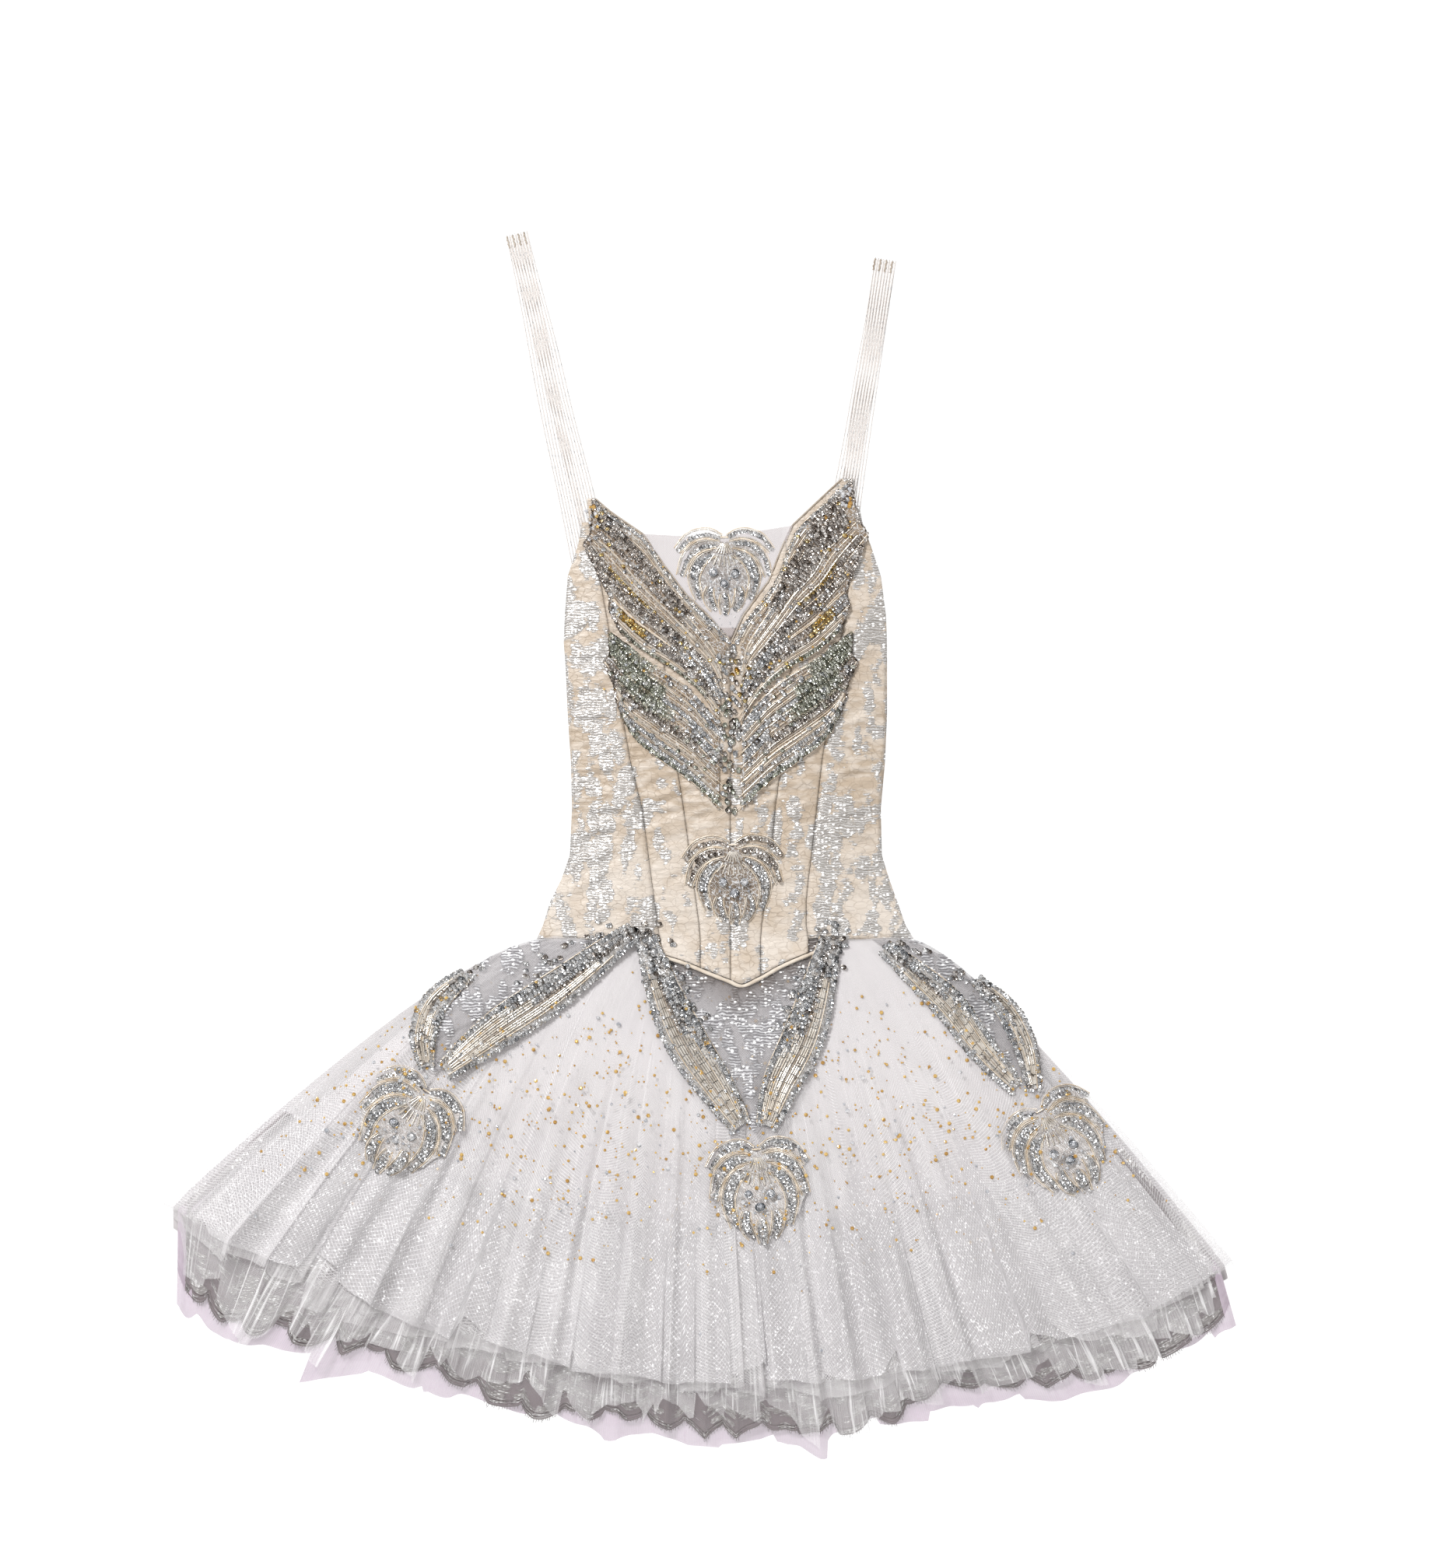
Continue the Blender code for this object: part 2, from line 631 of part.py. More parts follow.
def make_insert():
    """The sheer net that fills the neckline's V."""
    knots = {p.y for neck in (LEFT_NECK, RIGHT_NECK) for p in neck if V_BOTTOM < p.y < INSERT_TOP[0].y - 5}
    grid = []
    for y in [V_BOTTOM + 3, *sorted(knots), None]:
        ends = [
            -read(LEFT_NECK, "y", "across", y or INSERT_TOP[0].y) + 2 * SEAM_GAP,
            read(RIGHT_NECK, "y", "across", y or INSERT_TOP[-1].y) - 2 * SEAM_GAP,
        ]
        xs = [ends[0] + (ends[1] - ends[0]) * share for share in np.linspace(0, 1, 7)]
        grid.append([(x, y or eased(INSERT_TOP, "x", "y", x)) for x in xs])
    under = [[(x, y, arch(x, y) + 0.5) for x, y in row] for row in grid]
    wall("neck_insert", under, raised(under, NET_WALL), "soft_net")


def make_binding():
    """The piped binding along the pointed edge of the front."""
    xs = np.linspace(POINT_EDGE[0].x + 1, POINT_EDGE[-1].x - 2, 17)
    line = [np.array([x, read(POINT_EDGE, "x", "y", x)]) for x in xs]
    centres = []
    for i, here in enumerate(line):
        run = line[min(i + 1, len(line) - 1)] - line[max(i - 1, 0)]
        out = np.array([run[1], -run[0]]) / np.linalg.norm(run)
        x, y = here + out * (BINDING_RADIUS + BINDING_GAP)
        z = max(arch(*here) + FRONT_WALL / 2, pile.top(x, y) + LAY_GAP + BINDING_RADIUS)
        centres.append((x, y, out, z))
    points, faces = [], []
    for x, y, out, z in centres:
        for a in np.linspace(0, math.tau, BINDING_SIDES + 1)[:-1]:
            side = out * BINDING_RADIUS * math.cos(a)
            points.append((x + side[0], y + side[1], z + BINDING_RADIUS * math.sin(a)))
    n = BINDING_SIDES
    for i in range(len(line) - 1):
        for j in range(n):
            a, b = i * n + j, i * n + (j + 1) % n
            faces += [(a, b, b + n), (a, b + n, a + n)]
    faces += [list(range(n)), list(range((len(line) - 1) * n, len(line) * n))]
    put("point_binding", points, faces, "satin")


def make_strap(strap):
    """A flat loop of elastic: up from the back, over at the fold, and down behind the strap point."""
    fold, back, front = (np.array(p) for p in (strap.fold, strap.back, strap.front))
    radius = (STRAP_WALL + SEAM_GAP) / 2
    low, high = STRAP_WALL / 2, STRAP_WALL / 2 + 2 * radius
    stations = [(back + (fold - back) * t, low, -90.0, fold - back) for t in (0, 0.25, 0.5, 0.75, 1)]
    stations += [(fold, low + radius, a, fold - back) for a in (-45.0, 0.0, 45.0)]
    stations += [(fold + (front - fold) * t, high, 90.0, fold - front) for t in (0.02, 0.25, 0.5, 0.75, 1)]
    under, over = [], []
    for place, level, angle, run in stations:
        up = run / np.linalg.norm(run)
        side = np.array([up[1], -up[0]])
        turn = math.radians(angle)
        out = up * math.cos(turn)
        inner, outer = [], []
        for half in (-STRAP_WIDTH / 2, STRAP_WIDTH / 2):
            x, y = place + side * half + out * radius
            z = level + (radius * math.sin(turn) if abs(angle) < 90 else 0.0)
            if place is stations[0][0]:
                x, y = x, read(BACK_TOP, "x", "y", x)
            rise = math.sin(turn) * STRAP_WALL / 2
            lean = out * STRAP_WALL / 2
            inner.append((x - lean[0], y - lean[1], z - rise))
            outer.append((x + lean[0], y + lean[1], z + rise))
        under.append(inner)
        over.append(outer)
    wall(strap.name, under, over, "elastic")


# --- Embroidery ---------------------------------------------------------------------------------------------


def spray_ribs(ribs, side, neck=None):
    """The ribs of a spray as rows of points. With a neck, a rib along that neckline is added on top."""
    lines = [curve_through(rib, RIB_STATIONS) for rib in ribs]
    if neck:
        left, own = (
            curve_through([(-p.across - NECK_INSET.x, p.y - NECK_INSET.y) for p in table], RIB_STATIONS)
            for table in (LEFT_NECK, neck)
        )
        lines.insert(0, left)
        rise = (own - left) if side > 0 else left * 0
        lines = [line + rise * (1 - i / (len(lines) - 1)) for i, line in enumerate(lines)]
    if side > 0:
        lines = [np.array((2 * CENTRE_SEAM, 0)) + line * (-1, 1) for line in lines]
    return lines


def make_spray(name, ribs):
    """Beaded feathers side by side, with a raised cord on each side of each vein."""
    lines = []
    for near, far in zip(ribs, ribs[1:]):
        lines += [near, (near + far) / 2]
    lines.append(ribs[-1])
    under = settle_grid([[tuple(p) for p in line] for line in lines], lambda x, y: BACK_WALL)
    wall(name, under, raised(under, lambda i, j: RIB_HEIGHTS[i % 4]), "beading")


def make_leaf(leaf):
    """A stiff beaded leaf with two raised cords and a sunk vein, laid over what is under it."""
    line = curve_through(leaf.path, LEAF_STATIONS)
    grid = []
    for i, (here, run) in enumerate(zip(line, np.gradient(line, axis=0))):
        t = i / (LEAF_STATIONS - 1)
        width = leaf.width * (LEAF_BLUNTNESS + (1 - LEAF_BLUNTNESS) * math.sin(math.pi * (0.1 + 0.8 * t)))
        side = np.array([run[1], -run[0]]) / np.linalg.norm(run)
        grid.append([tuple(here + side * width * share) for share in LEAF_SHARES])
    under = settle_grid(grid, lambda x, y: BACK_WALL)
    wall(leaf.name, under, raised(under, lambda i, j: LEAF_HEIGHTS[j]), "beading")


def make_palmette(palmette):
    """A beaded palmette: raised petals round their common middle, with sunk lines between them."""
    spokes = list(HALF_PALMETTE) + [p._replace(angle=-p.angle) for p in HALF_PALMETTE[-2:0:-1]]
    turn = math.radians(palmette.turn)
    down = np.array([math.sin(turn), -math.cos(turn)])
    middle = np.array(palmette.knot) + down * palmette.size * BUD_MIDDLE
    flat, heights = [tuple(middle)], [RAISED_HEIGHTS[0]]
    for ring, high, sunk in zip(PETAL_RINGS, RAISED_HEIGHTS, VALLEY_HEIGHTS):
        for petal in spokes:
            a = math.radians(petal.angle) + turn
            out = palmette.size * petal.reach * ring
            flat.append((middle[0] + out * math.sin(a), middle[1] - out * math.cos(a)))
            heights.append(high if petal.raised else sunk)
    count, n = len(spokes), len(flat)
    skin = [(0, 1 + j, 1 + (j + 1) % count) for j in range(count)]
    for ring in range(len(PETAL_RINGS) - 1):
        for j in range(count):
            a, b = 1 + ring * count + j, 1 + ring * count + (j + 1) % count
            skin += [(a, a + count, b + count), (a, b + count, b)]
    faces = skin + [tuple(i + n for i in face) for face in skin]
    rim = n - count
    for j in range(count):
        a, b = rim + j, rim + (j + 1) % count
        faces += [(a, b, b + n), (a, b + n, a + n)]
    base = settle(flat, skin, lambda x, y: BACK_WALL)
    points = [(x, y, z) for (x, y), z in zip(flat, base)]
    points += [(x, y, z + h) for (x, y), z, h in zip(flat, base, heights)]
    put(palmette.name, points, faces, "beading")


def main():
    clear_scene()
    floor = make_skirt_back()
    make_inner_frills(floor)
    make_layers(floor)
    pile.look()
    make_hip_laces()
    make_backs()
    for strap in STRAPS:
        make_strap(strap)
    pile.look()
    make_fronts()
    make_sides()
    make_insert()
    make_binding()
    pile.look()
    for side, word, neck in ((-1, "left", LEFT_NECK), (1, "right", RIGHT_NECK)):
        make_spray(f"spray_upper_{word}", spray_ribs(SPRAY_UPPER, side, neck))
        make_spray(f"spray_lower_{word}", spray_ribs(SPRAY_LOWER, side))
    for leaf in SKIRT_BANDS:
        make_leaf(leaf)
    for palmette in PALMETTES:
        make_palmette(palmette)


main()
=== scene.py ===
# %% [markdown]
# # A ballet tutu, laid flat
# This lesson dresses a frame of thin solids as a stage costume: a boned bodice of satin under silver lace,
# beaded sprays, and a skirt of many nets. The frame gives every piece its place and size. Each step below
# makes one kind of cloth or bead, from the finishes up to the light and the camera.

import math
from collections import namedtuple

import bpy
import numpy as np
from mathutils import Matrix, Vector
from mathutils.bvhtree import BVHTree


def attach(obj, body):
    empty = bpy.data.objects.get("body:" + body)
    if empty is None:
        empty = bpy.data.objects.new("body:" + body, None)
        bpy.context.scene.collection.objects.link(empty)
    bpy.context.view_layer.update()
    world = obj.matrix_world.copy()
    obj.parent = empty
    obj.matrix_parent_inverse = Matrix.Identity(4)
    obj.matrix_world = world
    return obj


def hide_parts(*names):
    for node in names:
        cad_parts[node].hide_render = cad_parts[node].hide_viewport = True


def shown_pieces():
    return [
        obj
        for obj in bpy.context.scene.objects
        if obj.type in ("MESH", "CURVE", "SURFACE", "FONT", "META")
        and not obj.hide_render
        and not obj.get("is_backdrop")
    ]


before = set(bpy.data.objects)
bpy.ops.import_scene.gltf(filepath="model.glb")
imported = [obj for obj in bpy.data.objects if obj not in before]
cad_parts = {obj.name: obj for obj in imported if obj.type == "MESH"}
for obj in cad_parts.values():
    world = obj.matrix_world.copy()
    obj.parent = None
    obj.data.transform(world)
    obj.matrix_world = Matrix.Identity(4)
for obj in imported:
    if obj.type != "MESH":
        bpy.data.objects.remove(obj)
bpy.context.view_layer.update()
MM = 0.001  # tables are in millimetres

# %% [markdown]
# ## Feeling for the surface
# Beads and cloth have to lie on what carries them. A ray dropped from above finds that surface, and a BVH
# tree makes thousands of such rays quick.

# %% Rays from above


class Ground:
    """The upper side of some nodes of the frame, or of pieces made here, in millimetres."""

    def __init__(self, *carriers):
        points, faces = [], []
        for carrier in carriers:
            mesh = (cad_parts[carrier] if isinstance(carrier, str) else carrier).data
            first = len(points)
            points += [v.co / MM for v in mesh.vertices]
            faces += [[first + i for i in p.vertices] for p in mesh.polygons]
        self.tree = BVHTree.FromPolygons(points, faces)

    def feel(self, x, y):
        """Height and normal of the surface at x, y, or None and None off its edge."""
        hit, normal, _, _ = self.tree.ray_cast(Vector((x, y, 500.0)), Vector((0, 0, -1)))
        return (None, None) if hit is None else (hit.z, normal)

    def height(self, x, y, otherwise=None):
        z = self.feel(x, y)[0]
        return otherwise if z is None else z


everything = Ground(*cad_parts)
print("felt from above at the waist:", round(everything.height(0, 0), 1), "mm")

# %% [markdown]
# ## Reading the pattern tables
# A pattern cutter works from a few measured points and draws smooth lines through them. Here a table is a
# list of named rows. read() goes straight between rows, eased() and curve_through() bend smoothly.

# %% Curves through tables


def column(table, field):
    return np.array([getattr(row, field) for row in table], float)


def read(table, key, value, at):
    return np.interp(at, column(table, key), column(table, value))


def eased(table, key, value, at):
    keys, values = column(table, key), column(table, value)
    i = np.clip(np.searchsorted(keys, at) - 1, 0, len(keys) - 2)
    slopes = np.gradient(values, keys)
    step = keys[i + 1] - keys[i]
    t = (at - keys[i]) / step
    near = (1 + 2 * t) * (1 - t) ** 2 * values[i] + t * (1 - t) ** 2 * step * slopes[i]
    return near + t**2 * (3 - 2 * t) * values[i + 1] + t**2 * (t - 1) * step * slopes[i + 1]


def curve_through(points, count):
    points = np.array(points, float)
    padded = np.vstack([2 * points[0] - points[1], points, 2 * points[-1] - points[-2]])
    at = np.linspace(0, len(points) - 1, count)
    i = np.minimum(at.astype(int), len(points) - 2)
    t = (at - i)[:, None]
    a, b, c, d = (padded[i + k] for k in range(4))
    return 0.5 * (2 * b + (c - a) * t + (2 * a - 5 * b + 4 * c - d) * t**2 + (3 * b - a - 3 * c + d) * t**3)


def smoothstep(t):
    t = np.clip(t, 0.0, 1.0)
    return t * t * (3 - 2 * t)


def even_steps(line, step):
    """Points about a step apart along a line of points, however these are spaced."""
    runs = np.linalg.norm(np.diff(line, axis=0), axis=1)
    along = np.concatenate([[0], np.cumsum(runs)])
    at = np.linspace(0, along[-1], max(2, int(round(along[-1] / step)) + 1))
    return np.column_stack([np.interp(at, along, line[:, k]) for k in range(line.shape[1])])


print("a curve through three points:", curve_through([(0, 0), (2, 2), (4, 0)], 5)[:, 1].tolist())

# %% [markdown]
# ## Making pieces
# Every piece is one mesh object that rides on the costume's only body. Cloth is a grid of points, each row as
# long as the next. A soft wave of random numbers serves wherever cloth or thread should wander.

# %% Mesh helpers


def smooth_noise(at, seed):
    """A soft random wave between -1 and 1 along a line of numbers, the same on every run."""
    at = np.asarray(at, float)
    values = np.random.default_rng(seed).uniform(-1, 1, 512)
    i = np.floor(at).astype(int)
    t = smoothstep(at - i)
    return values[i % 512] * (1 - t) + values[(i + 1) % 512] * t


def put(name, points, faces, material, replaces=(), smooth=True, flat_uv=None):
    """Makes one piece from points in millimetres, and puts it on the body."""
    mesh = bpy.data.meshes.new(name)
    mesh.from_pydata((np.asarray(points, float) * MM).tolist(), [], [list(map(int, f)) for f in faces])
    mesh.polygons.foreach_set("use_smooth", [smooth] * len(mesh.polygons))
    if flat_uv is not None:
        corners = np.zeros(len(mesh.loops), int)
        mesh.loops.foreach_get("vertex_index", corners)
        layer = mesh.uv_layers.new(name="cloth")
        layer.data.foreach_set("uv", (np.asarray(flat_uv, float) * MM)[corners].ravel())
    mesh.materials.append(material)
    piece = bpy.data.objects.new(name, mesh)
    bpy.context.scene.collection.objects.link(piece)
    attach(piece, "root")
    if replaces:
        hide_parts(*replaces)
    return piece


def plane(x, y):
    """Two tables of numbers, or a table and a row or column, as one table of points."""
    return np.stack(np.broadcast_arrays(x, y), -1)


def raised(flat, z):
    """The points of a flat grid, each at its own height, in one list."""
    return np.concatenate([flat, z[..., None]], -1).reshape(-1, 3)


def grid_faces(rows, columns):
    a = (np.arange(rows - 1)[:, None] * columns + np.arange(columns - 1)[None, :]).ravel()
    return np.column_stack([a, a + 1, a + columns + 1, a + columns])


print("a soft wave:", smooth_noise(np.arange(5) * 0.5, 1).round(2).tolist())

# %% [markdown]
# ## Many small things at once
# A costume has thousands of beads. Each kind is one small template copied to many places, and the copies are
# joined in one mesh, which keeps them light.

# %% Batches


class Batch:
    """Many small things that become one joined mesh."""

    def __init__(self):
        self.points, self.faces, self.count = [], [], 0

    def add(self, points, faces):
        self.points.append(points)
        self.faces.append(np.asarray(faces) + self.count)
        self.count += len(points)

    def stamp(self, template, faces, places, axes, sizes):
        """A template at each place. axes are 3x3 frames by column, and sizes scale each copy."""
        scaled = template[None] * np.asarray(sizes)[:, None, None]
        made = np.einsum("nij,nkj->nki", np.asarray(axes), scaled) + np.asarray(places)[:, None]
        for copy in made:
            self.add(copy, faces)

    def make(self, name, material, slot, smooth=False):
        faces = [f for group in self.faces for f in group.tolist()]
        return put(name, np.vstack(self.points), faces, material, smooth=smooth)


sample = Batch()
sample.stamp(np.eye(3), [(0, 1, 2)], [(0, 0, 0), (5, 0, 0)], [np.eye(3)] * 2, [1, 2])
print("two triangles stamped:", sample.count, "points")

# %% [markdown]
# ## Colours
# Fabric colours are easiest to judge as they look on a screen, from 0 to 255. Blender works in linear
# light, so each is turned once, here, and then has a name that a costume maker would use.

# %% Colour chart


def dye(*screen):
    return tuple(((v / 255 + 0.055) / 1.055) ** 2.4 if v > 10 else v / 255 / 12.92 for v in screen) + (1.0,)


CREAM = dye(215, 205, 194)
IVORY = dye(232, 221, 206)
SHADOW_CREAM = dye(190, 172, 151)
CELL_BROWN = dye(150, 132, 112)
# painted shade: the brown that darkens the bodice's folds
FOLD_SHADE_BROWN = dye(177, 159, 138)
SILVER = dye(226, 226, 227)
# painted shade: the dark grey between the lit rows of the bodice lace's ribs
RIB_SHADE_SILVER = dye(152, 148, 144)
NET_WHITE = dye(245, 243, 244)
NET_LILAC = dye(230, 225, 230)
LACE_GREY = dye(118, 108, 109)
TAUPE = dye(190, 180, 168)
print("cream in linear light:", [round(v, 2) for v in CREAM])

# %% [markdown]
# ## Shader nodes by short calls
# A material is a graph of nodes. Bench adds and links them in one line each, so that the steps below read
# like a recipe.

# %% A bench for shader nodes


class Bench:
    """Adds nodes to one tree and links them."""

    def __init__(self, tree):
        self.tree = tree

    def feed(self, value, socket):
        """Links a socket, or writes a number or a colour, into a socket."""
        if isinstance(value, bpy.types.NodeSocket):
            self.tree.links.new(value, socket)
        else:
            socket.default_value = value

    def node(self, kind, inputs=None, **settings):
        made = self.tree.nodes.new(kind if kind.startswith("Node") else "ShaderNode" + kind)
        for key, value in settings.items():
            setattr(made, key, value)
        for key, value in (inputs or {}).items():
            self.feed(value, made.inputs[key])
        return made

    def math(self, operation, a, b=0.0, c=0.0, clamp=False):
        return self.node("Math", {0: a, 1: b, 2: c}, operation=operation, use_clamp=clamp).outputs[0]

    def times(self, a, b):
        return self.math("MULTIPLY", a, b)

    def vector(self, operation, a, b=(0, 0, 0)):
        return self.node("VectorMath", {0: a, 1: b}, operation=operation).outputs[0]

    def scaled(self, a, by):
        return self.node("VectorMath", {0: a, "Scale": by}, operation="SCALE").outputs[0]

    def mix(self, share, a, b):
        return self.node("Mix", {0: share, 6: a, 7: b}, data_type="RGBA").outputs[2]

    def ramp(self, value, low, high, to_low=0.0, to_high=1.0):
        inputs = {0: value, 1: low, 2: high, 3: to_low, 4: to_high}
        return self.node("MapRange", inputs, interpolation_type="SMOOTHSTEP").outputs[0]

    def noise(self, at, scale, detail=2.0, roughness=0.5):
        inputs = {"Vector": at, "Scale": scale, "Detail": detail, "Roughness": roughness}
        return self.node("TexNoise", inputs).outputs

    def turned(self, at, degrees, stretch=(1, 1, 1)):
        inputs = {0: at, "Rotation": (0, 0, math.radians(degrees)), "Scale": stretch}
        return self.node("Mapping", inputs).outputs[0]

    def split(self, vector):
        """The x, y and z of a vector."""
        return self.node("SeparateXYZ", {0: vector}).outputs

    def bump(self, height, strength, depth):
        """A normal tilted by a height, whose full range is depth in metres."""
        inputs = {"Strength": strength, "Distance": depth, "Height": height}
        return self.node("Bump", inputs).outputs[0]

    def group(self, tree, **inputs):
        made = self.node("Group", node_tree=tree)
        for key, value in inputs.items():
            self.feed(value, made.inputs[key])
        return made.outputs


print("on the bench:", [name for name in vars(Bench) if not name.startswith("_")])

# %% [markdown]
# ## Effects and finishes
# An effect is a node group that several finishes share. A finish is a material, and keeps its own Principled
# BSDF. Each kind starts with the same few lines, so there is a function for either.

# %% Starting an effect or a finish


def effect(name, takes, gives):
    """An empty node group, with its bench, its inputs and its outputs."""
    tree = bpy.data.node_groups.new(name, "ShaderNodeTree")
    for label, kind, value in takes:
        made = tree.interface.new_socket(name=label, in_out="INPUT", socket_type="NodeSocket" + kind)
        if value is not None:
            made.default_value = value
    for label, kind in gives:
        tree.interface.new_socket(name=label, in_out="OUTPUT", socket_type="NodeSocket" + kind)
    bench = Bench(tree)
    return tree, bench, bench.node("NodeGroupInput").outputs, bench.node("NodeGroupOutput").inputs


def finish(name, **sockets):
    """A new material, its bench, and the inputs of its Principled BSDF."""
    made = bpy.data.materials.new(name)
    made.use_nodes = True
    bench = Bench(made.node_tree)
    shader = made.node_tree.nodes["Principled BSDF"]
    for key, value in sockets.items():
        bench.feed(value, shader.inputs[key.replace("_", " ")])
    return made, bench, shader.inputs


print("effects so far:", len(bpy.data.node_groups), "and finishes:", len(bpy.data.materials))

# %% [markdown]
# ## Net, as a mask of threads
# Net is a lattice of fine threads with air between. Modelling each thread would take millions of faces, so
# the lattice is a mask: two sets of slanted lines. One group serves all the nets, each with its own cell.

# %% Effect: lattice of threads
lattice, b, given, out = effect(
    "Lattice Threads",
    [("Place", "Vector", None), ("Cell", "Float", 0.002), ("Thread", "Float", 0.4), ("Slant", "Float", 1.0)],
    [("Threads", "Float")],
)
apart = b.split(given["Place"])
per_cell = b.math("DIVIDE", math.pi, given["Cell"])
across_way = b.times(b.times(apart[0], given["Slant"]), per_cell)
along_way = b.times(apart[1], per_cell)
one = b.math("ABSOLUTE", b.math("SINE", b.math("ADD", across_way, along_way)))
two = b.math("ABSOLUTE", b.math("SINE", b.math("SUBTRACT", across_way, along_way)))
nearest = b.math("MINIMUM", one, two)
b.feed(b.math("SUBTRACT", 1.0, b.math("DIVIDE", nearest, given["Thread"]), clamp=True), out["Threads"])
print(lattice.name, "has", len(lattice.nodes), "nodes")

# %% [markdown]
# ## Sparkle
# Metal thread glints where a facet happens to face the light. A Voronoi texture gives every small cell a
# random value, and only the luckiest cells light up. Nets, lace and brocade share it at their own scale.

# %% Effect: sparkle
sparkle, b, given, out = effect(
    "Metal Sparkle",
    [("Place", "Vector", None), ("Scale", "Float", 500.0), ("Share", "Float", 0.1)],
    [("Glints", "Float")],
)
cells = b.node("TexVoronoi", {"Vector": given["Place"], "Scale": given["Scale"]}).outputs
luck = b.node("SeparateColor", {0: cells["Color"]}).outputs[0]
lucky = b.math("LESS_THAN", luck, given["Share"])
close = b.ramp(cells["Distance"], 0.55, 0.25)
b.feed(b.times(lucky, close), out["Glints"])
print(sparkle.name, "has", len(sparkle.nodes), "nodes")

# %% [markdown]
# ## Lace motifs
# Machine lace has dense leaves and blooms on an open ground. Two turned sets of long Voronoi cells give leaf
# shapes, and soft noise decides where they gather. The edges are bent a little so that none looks drawn by
# ruler. The bodice lace, the hip lace and the lace frill use it at different sizes.

# %% Effect: lace motifs
motifs, b, given, out = effect(
    "Lace Motifs",
    [("Place", "Vector", None), ("Size", "Float", 0.02), ("Cover", "Float", 0.5)],
    [("Motif", "Float"), ("Depth", "Float")],
)
place = b.scaled(given["Place"], b.math("DIVIDE", 1.0, given["Size"]))
drift = b.vector("SUBTRACT", b.noise(place, 1.9, 3.0)["Color"], (0.5, 0.5, 0.5))
bent = b.vector("ADD", place, b.scaled(drift, 0.75))
nearness = []
for degrees in (28.0, -37.0, 83.0):
    leaf = b.turned(bent, degrees, (1.0, 0.42, 1.0))
    nearness.append(b.node("TexVoronoi", {"Vector": leaf, "Scale": 0.95}).outputs["Distance"])
leaves = b.math("MINIMUM", b.math("MINIMUM", nearness[0], nearness[1]), nearness[2])
gather = b.noise(place, 0.55, 2.0)["Fac"]
level = b.math("ADD", leaves, b.times(b.math("SUBTRACT", 0.5, gather), 1.1))
b.feed(b.ramp(b.math("SUBTRACT", level, given["Cover"]), 0.02, -0.02), out["Motif"])
depth = b.math("MULTIPLY_ADD", b.math("SUBTRACT", given["Cover"], level), 2.2, 0.5)
b.feed(b.math("MINIMUM", b.math("MAXIMUM", depth, 0.0), 1.0), out["Depth"])
print(motifs.name, "has", len(motifs.nodes), "nodes")

# %% [markdown]
# ## Drawn threads
# Between the motifs the lace ground is a wandering net of cells, and in the motifs the thread lies in rows.
# The cell walls come from Voronoi's distance to the edge, and the rows from a wave that noise disturbs.

# %% Effect: cells and rows
drawn, b, given, out = effect(
    "Drawn Threads",
    [("Place", "Vector", None), ("Cell", "Float", 0.007), ("Row", "Float", 0.0013)],
    [("Cells", "Float"), ("Rows", "Float")],
)
wander = b.vector("SUBTRACT", b.noise(given["Place"], 120.0, 3.0)["Color"], (0.5, 0.5, 0.5))
uneven = b.vector("ADD", given["Place"], b.scaled(wander, 0.0065))
flat_cells = b.scaled(b.vector("MULTIPLY", uneven, (0.8, 1.25, 0.0)), b.math("DIVIDE", 1.0, given["Cell"]))
edge = b.node("TexVoronoi", {"Vector": flat_cells, "Scale": 1.0}, feature="DISTANCE_TO_EDGE").outputs[0]
b.feed(b.ramp(edge, 0.06, 0.02), out["Cells"])
height = b.split(uneven)[1]
phase = b.times(height, b.math("DIVIDE", math.tau, given["Row"]))
b.feed(b.math("MULTIPLY_ADD", b.math("SINE", phase), 0.5, 0.5), out["Rows"])
print(drawn.name, "has", len(drawn.nodes), "nodes")

# %% [markdown]
# ## Wear and unevenness
# Old stage cloth isn't one colour: it yellows and greys in soft patches. A slow noise between a clean and a
# worn colour is enough, and every cloth of the costume uses it.

# %% Effect: worn colour
worn, b, given, out = effect(
    "Worn Colour",
    [
        ("Place", "Vector", None),
        ("Clean", "Color", CREAM),
        ("Worn", "Color", SHADOW_CREAM),
        ("Patch", "Float", 0.05),
        ("Share", "Float", 0.5),
    ],
    [("Colour", "Color")],
)
slow = b.noise(b.scaled(given["Place"], b.math("DIVIDE", 1.0, given["Patch"])), 1.0, 3.0, 0.6)["Fac"]
aged_share = b.times(b.ramp(slow, 0.35, 0.75), given["Share"])
b.feed(b.mix(aged_share, given["Clean"], given["Worn"]), out["Colour"])
print(worn.name, "has", len(worn.nodes), "nodes")

# %% [markdown]
# ## Plain nets
# Soft net covers the skirt and hangs in the frill below the glitter, and a stiff net holds the hem out. They
# are matt, and thin enough that two layers look clearly denser than one: the alpha has a floor, air, and the
# threads add to it. Where a net is gathered it bunches in lengthways streaks, which a stretched noise adds.

# %% Finish: plain nets


def net_finish(name, clean, shade, cell, air, thread, aged, gathers):
    made, b, shader = finish(name, Roughness=0.85, Specular_IOR_Level=0.2)
    place = b.node("UVMap", uv_map="cloth").outputs[0]
    colour = b.group(worn, Place=place, Clean=clean, Worn=shade, Patch=0.06, Share=aged)[0]
    threads = b.group(lattice, Place=place, Cell=cell, Thread=0.75, Slant=0.8)[0]
    patchy = b.ramp(b.noise(place, 9.0, 3.0)["Fac"], 0.3, 0.7, -0.05, 0.05)
    b.feed(colour, shader["Base Color"])
    bunched = b.noise(b.turned(place, 0.0, (240.0, 3.0, 1.0)), 1.0, 2.0)["Fac"]
    body = b.math("ADD", patchy, b.ramp(bunched, 0.54, 0.70, 0.0, gathers))
    alpha = b.math("ADD", b.math("MULTIPLY_ADD", threads, thread, air), body, clamp=True)
    b.feed(alpha, shader["Alpha"])
    return made


